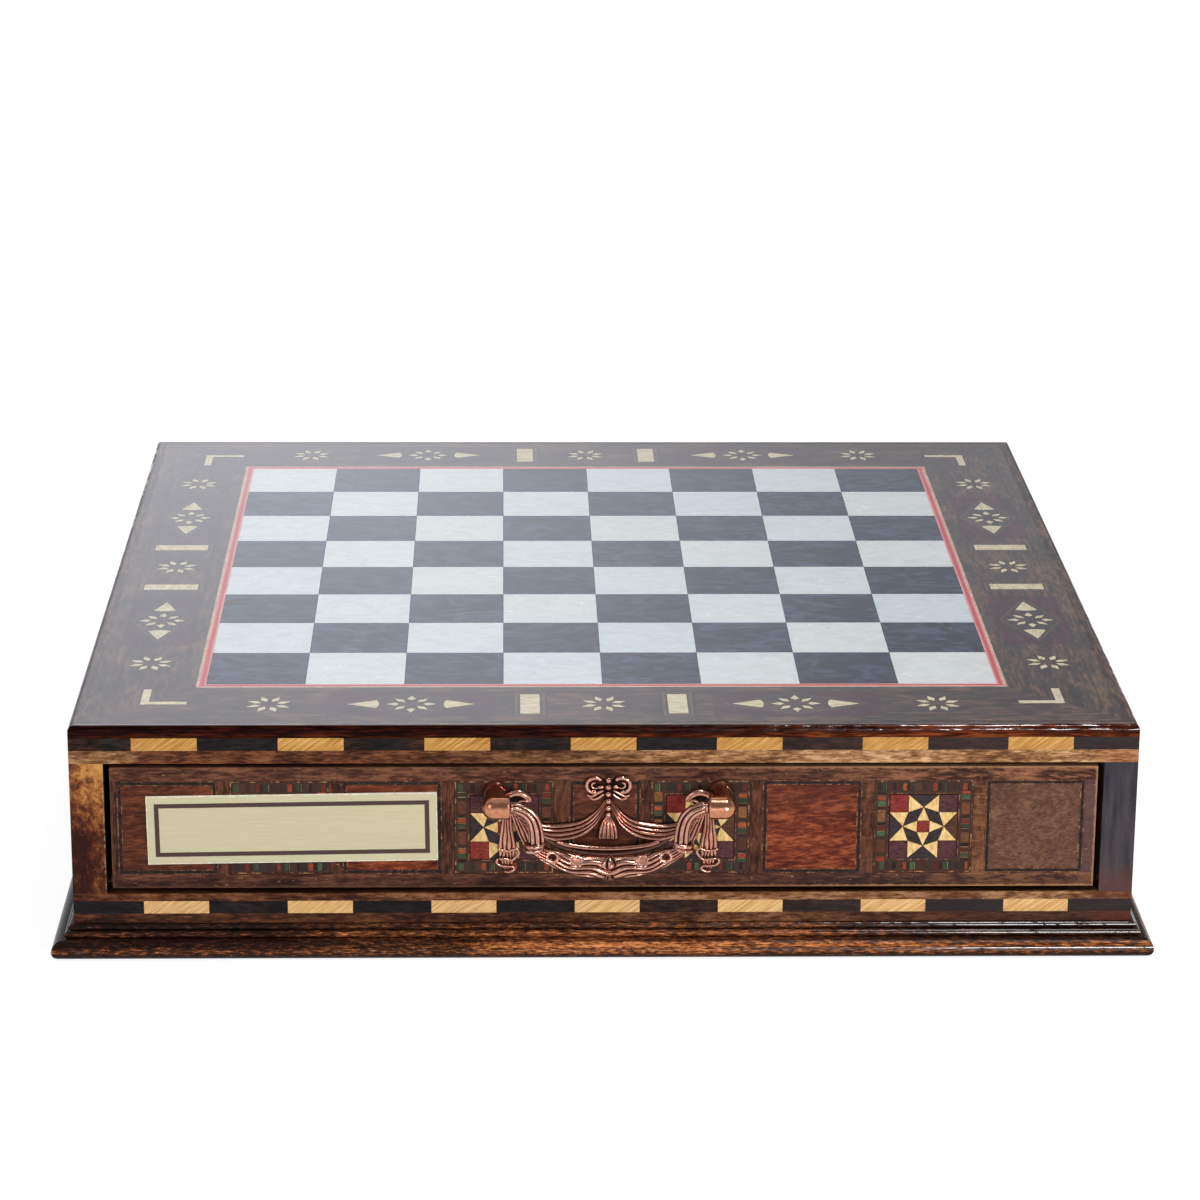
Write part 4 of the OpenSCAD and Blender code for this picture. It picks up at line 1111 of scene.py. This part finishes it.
def drillHoles(piece, back):
    # two round holes through the garland, cut by cylinders that lie along y
    at, down = handle["holeAt"]
    profile = [(0.01, -6), (handle["holeR"], -6), (handle["holeR"], 6), (0.01, 6)]
    drills = [(turned(profile, (x, 0, down), "out", 28)[0], 1.0) for x in (-at, at)]
    cutter = shellPiece("cutter", hung(drills, handle["axisOut"]), back)
    cut = piece.modifiers.new("holes", "BOOLEAN")
    cut.operation, cut.object, cut.solver = "DIFFERENCE", cutter, "EXACT"
    whole = bpy.data.meshes.new_from_object(piece.evaluated_get(bpy.context.evaluated_depsgraph_get()))
    piece.modifiers.clear()
    piece.data = whole
    bpy.data.objects.remove(cutter)


def joinMeshes(piece, other):
    work = bmesh.new()
    work.from_mesh(piece.data)
    work.from_mesh(other.data)
    work.to_mesh(piece.data)
    work.free()
    bpy.data.objects.remove(other)


# Small blocks: mosaic chips and the thin pale lines round the panels

mosaicRing = {
    "outerLine": (17.05, 17.45),  # half sizes between which the outer pale line lies
    "chips": (13.55, 16.45),
    "innerLine": (12.4, 12.8),
    "ground": (12.2, 17.65),
    "gap": 0.2,
    "seed": 7,
}
chipKinds = {
    # length along the row, colours to pick from
    "long": (4.6, [(112, 72, 46), (96, 58, 40), (132, 86, 52), (88, 54, 40)]),
    "dark": (1.3, [(42, 29, 25), (46, 38, 34), (54, 36, 28)]),
    "slate": (2.6, [(58, 42, 36), (52, 44, 40), (68, 46, 36)]),
    "green": (1.5, [(54, 74, 52), (44, 56, 42), (62, 92, 64)]),
    "red": (1.7, [(138, 60, 44), (152, 74, 50), (98, 42, 34)]),
    "pale": (0.35, [(156, 130, 92), (128, 98, 66)]),
}
chipTurns = {
    "upright": ("long", "dark", "pale", "green", "pale", "red", "pale", "dark"),
    "level": ("slate", "red", "dark", "green", "pale", "slate", "dark"),
}
blockShape = {
    "corner": 0.35,  # longest cut off a corner
    "levels": (-0.6, -0.08, 0.0),  # of the three rings, from the top
    "inset": 0.12,  # of the top ring, as a share
}
panelLines = {
    "halfHeight": 17.2,
    "outside": (0.15, 0.5),
    "inside": (-1.3, -0.95),
    "lift": 0.02,
}


def chipRow(chance, length, turn):
    # splits a row into chips that follow each other in the order of the turn, each a little longer or shorter
    spans, at = [], -length / 2
    kinds = chipTurns[turn]
    step = int(chance.integers(len(kinds)))
    while at < length / 2 - 0.3:
        size, colours = chipKinds[kinds[step % len(kinds)]]
        size = min(size * chance.uniform(0.85, 1.15), length / 2 - at)
        tone = chance.uniform(0.85, 1.12)
        colour = tuple(tone * v for v in colours[int(chance.integers(len(colours)))])
        spans.append((at, at + size, colour))
        at, step = at + size, step + 1
    return spans


def frameBlocks(x, z, halfX, halfZ, inner, outer, top, colour):
    # four blocks round a rectangle, from its edge plus inner to its edge plus outer
    mid, thick = (inner + outer) / 2, (outer - inner) / 2
    rows = [[x, z + side * (halfZ + mid), halfX + outer, thick, top, *colour] for side in (-1, 1)]
    return rows + [[x + side * (halfX + mid), z, thick, halfZ + inner, top, *colour] for side in (-1, 1)]


def blocksPiece(name, rows, back):
    # every row is x, z, half width, half height, top, colour
    # a block is three rings of eight points, the last one inset
    table = np.array(rows, float)
    corner = np.array([(-1, -1), (1, -1), (1, 1), (-1, 1)], float)
    cut = np.minimum(blockShape["corner"], 0.45 * table[:, 2:4].min(1))[:, None, None]
    ends = table[:, None, 2:4] * corner
    along = np.stack([ends - cut * corner * (1, 0), ends - cut * corner * (0, 1)], 2)
    along[:, 1::2] = along[:, 1::2, ::-1]
    outline = along[:, :, ::-1].reshape(len(table), 1, 8, 2)
    inset = 1 - blockShape["inset"] * np.array([0, 0, 1.0])[None, :, None, None]
    flat = table[:, None, None, 0:2] + outline * inset
    out = table[:, 4, None] + np.array(blockShape["levels"])
    out = np.broadcast_to(out[..., None], flat.shape[:3])
    points = inPlace(np.stack([flat[..., 0], out, flat[..., 1]], -1), back)
    first = 24 * np.arange(len(table))[:, None, None]
    ring = np.arange(8)
    beside = np.roll(ring, -1)
    sides = np.stack([ring, beside, 8 + beside, 8 + ring], -1)
    sides = np.concatenate([sides, 8 + sides])
    caps = np.stack([ring[::-1], 16 + ring])
    faces = (first + sides).reshape(-1, 4).tolist() + (first + caps).reshape(-1, 8).tolist()
    mesh = bpy.data.meshes.new(name)
    mesh.from_pydata(points.reshape(-1, 3).tolist(), [], faces)
    tint = np.repeat(np.array([paint(*row[5:8]) + (1.0,) for row in rows]), 24, 0).astype(np.float32)
    mesh.attributes.new("tint", "FLOAT_COLOR", "POINT").data.foreach_set("color", tint.ravel())
    closeMesh(mesh)
    return added(name, mesh)


def chipRing(chance, x, z, top):
    # rows of chips below, above, left and right of the tile's ground
    low, high = mosaicRing["chips"]
    gap, row, thick = mosaicRing["gap"], (low + high) / 2, (high - low) / 2
    chips = []
    for side in (-1, 1):
        for a, b, colour in chipRow(chance, 2 * high, "level"):
            chips.append([x + (a + b) / 2, z + side * row, (b - a - gap) / 2, thick, top, *colour])
        for a, b, colour in chipRow(chance, 2 * low - gap, "upright"):
            chips.append([x + side * row, z + (a + b) / 2, thick, (b - a - gap) / 2, top, *colour])
    return chips


def addMarquetry():
    face, z = handle["face"], front["middle"]
    for where in ("front", "back"):
        back = where == "back"
        chance = np.random.default_rng(mosaicRing["seed"] + back)
        chips, lines = [], []
        for x in front["tiles"]:
            inner, outer = mosaicRing["ground"]
            chips += frameBlocks(x, z, inner, inner, 0, outer - inner, face - 0.1, (62, 44, 38))
            chips += chipRing(chance, x, z, face - 0.02)
            lines += frameBlocks(x, z, 0, 0, *mosaicRing["outerLine"], face - 0.03, (156, 114, 74))
            lines += frameBlocks(x, z, 0, 0, *mosaicRing["innerLine"], face - 0.03, (132, 90, 66))
        piece = blocksPiece(where + "_mosaic_chips", chips, back)
        settle(piece, where + "_drawer", "mosaic", "mosaic", where + "_mosaic_borders")
        high, top = panelLines["halfHeight"], face + panelLines["lift"]
        for x, half in front["panels"]:
            for edges in (panelLines["outside"], panelLines["inside"]):
                lines += frameBlocks(x, z, half, high, *edges, top, (138, 98, 64))
        settle(blocksPiece(where + "_pale_lines", lines, back), where + "_drawer", "holly", "scuffedLine")


# Glue lines: the dark seam round every inlay of the board's border

seams = {
    "width": 0.32,
    "lift": 0.012,
    "top": 86.3,
    "depth": 0.05,
    "loneStars": (-120, 0, 120),  # places along the side
    "starR": 8.6,
    # kites of each star: inner end, widest place, tip and width as shares of starR, then the angle
    "lone": [(0.33, 0.6, 1, 0.33, 20 + 45 * k) for k in range(8)],
    "cross": [(0.49, 0.66, 1.06, 0.38, 90 * k) for k in range(4)],
    "between": [(0.32, 0.62, 1, 0.31, 45 + 90 * k) for k in range(4)],
    "spear": [(12.3, -4.7), (11.475, -2.35), (11.2, 0), (11.475, 2.35), (12.3, 4.7), (23.7, 0)],
    "corner": [(0, 0), (16.5, 0), (16.5, 3), (3, 3), (3, 16.5), (0, 16.5)],
}


def seamLoop(outline):
    # closed ribbon round an outline: each corner moves out by width / cos(half its turn) along the bisector
    p = np.array(outline, float)
    edge = np.roll(p, -1, 0) - p
    normal = np.stack([edge[:, 1], -edge[:, 0]], 1) / np.linalg.norm(edge, axis=1, keepdims=True)
    before = np.roll(normal, 1, 0)
    bisector = (normal + before) / np.maximum(1 + np.sum(normal * before, 1, keepdims=True), 0.35)
    outer = p + seams["width"] * bisector
    ends = [(p, seams["lift"]), (outer, seams["lift"]), (outer, -seams["depth"]), (p, -seams["depth"])]
    level = np.ones(len(p))
    return np.stack([np.stack([q[:, 0], -q[:, 1], (seams["top"] + up) * level], 1) for q, up in ends], 1)


def addSeams():
    def turnedBy(points, angle):
        c, s = np.cos(radians(angle)), np.sin(radians(angle))
        return np.array(points) @ np.array([[c, s], [-s, c]])

    def kite(inner, wide, tip, width, angle):
        corners = np.array([(inner, 0), (wide, -width / 2), (tip, 0), (wide, width / 2)])
        return turnedBy(seams["starR"] * corners, angle)

    lone = [kite(*shape) for shape in seams["lone"]]
    paired = [kite(*shape) for shape in seams["cross"] + seams["between"]]
    spear, (at, halfX, halfY) = np.array(seams["spear"]), board["bars"]
    bar = np.array([(-halfX, -halfY), (halfX, -halfY), (halfX, halfY), (-halfX, halfY)])
    pair = (-board["diamondAt"], board["diamondAt"])
    motifs = ((seams["loneStars"], lone), (pair, [*paired, spear, -spear]), ((-at, at), [bar]))
    row = board["motifRow"]
    outlines = [outline + (x, -row) for places, shapes in motifs for x in places for outline in shapes]
    outlines.append(np.array(seams["corner"]) - row)
    shells = [(seamLoop(turnedBy(outline, 90 * k)), 0.0) for k in range(4) for outline in outlines]
    piece = shellPiece("border_glue_lines", shells, loops=range(len(shells)), sharp=30)
    settle(piece, "case", "ebony", "glueLine")


# Felt in the drawers

felt = {"wave": 0.12, "edge": 0.5}


def addFelt():
    # top = height - edge * rim**60 + wave * (sin * sin - 1) over the drawer's floor; the underside is flat
    for where in ("front", "back"):
        node = where + "_drawer_felt"
        low, high = (1000 * np.array(corner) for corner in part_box(node))
        u, v = np.linspace(-1, 1, 120)[:, None], np.linspace(-1, 1, 70)[None]
        x = (low[0] + high[0]) / 2 + u * (high[0] - low[0]) / 2 + 0 * v
        y = (low[1] + high[1]) / 2 + v * (high[1] - low[1]) / 2 + 0 * u
        rim = np.maximum(np.abs(u), np.abs(v)) ** 60
        ripple = np.sin(7.0 * u + 2 * v) * np.sin(5.0 * v + u) - 1
        z = high[2] - felt["edge"] * rim + felt["wave"] * ripple
        top = np.stack([x, -y, z], -1)
        under = top[:, [-1, 0]] * (1, 1, 0) + (0, 0, low[2])
        piece = shellPiece(where + "_felt_lining", [(np.concatenate([top, under], 1), 0.0)])
        settle(piece, where + "_drawer", "felt", "redFelt", node)


nodeFinishes = {
    # the nodes that wear each finish, without front and back in their names
    "caseWalnut": ("left_side", "right_side"),
    "frontWalnut": ("top_rail", "bottom_rail"),
    "faceStrips": ("face_strips",),
    "cornerVeneer": ("corner_veneers",),
    "maple": ("light_band_blocks",),
    "ebony": ("dark_band_blocks",),
    "innerPly": ("bottom_panel", "centre_partition", "top_board", "drawer_bottom"),
    "innerBeech": ("drawer_runners", "drawer_kickers", "drawer_left_side", "drawer_right_side"),
    "innerBeechAcross": ("drawer_back",),
    "plinthStain": ("plinth", "left_plinth", "right_plinth"),
    "lipping": ("top_lipping",),
    "borderWalnut": ("border_veneer",),
    "diamondWood": ("diamond_panels",),
    "lightPearl": ("light_squares",),
    "darkPearl": ("dark_squares",),
    "redLine": ("red_stringing",),
    "paleLine": ("pale_stringing",),
    "creamInlay": ("star_inlays", "spear_inlays", "bar_inlays"),
    "drawerWalnut": ("drawer_front",),
    "panelWood": ("drawer_panels",),
    "blackLine": ("drawer_lines",),
    "mosaic": ("mosaic_borders",),
    "starCream": ("star_points",),
    "starGround": ("star_ground",),
    "redFelt": ("drawer_felt",),
    "copper": ("handle_plate", "bail"),
    "postCopper": ("handle_posts",),
    "steel": ("handle_screws",),
    "namePlate": ("name_plate",),
}


def dressNodes():
    worn = {node: finishes[finish] for finish, nodes in nodeFinishes.items() for node in nodes}
    for name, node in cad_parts.items():
        for place in node.material_slots:
            place.material = worn[name.removeprefix("front_").removeprefix("back_")]


addCamera()
addLamps()
addWorld()
addFloor()
print("studio ready")
addWoods()
addBorderFinishes()
addPearls()
addInlayFinishes()
addFaceFinishes()
addDrawerFinishes()
addOtherFinishes()
dressNodes()
print("finishes laid:", len(finishes))
addHandles()
print("handles cast")
addMarquetry()
addSeams()
addFelt()
print("marquetry, seams and felt in place")

scene.view_settings.view_transform = "Standard"
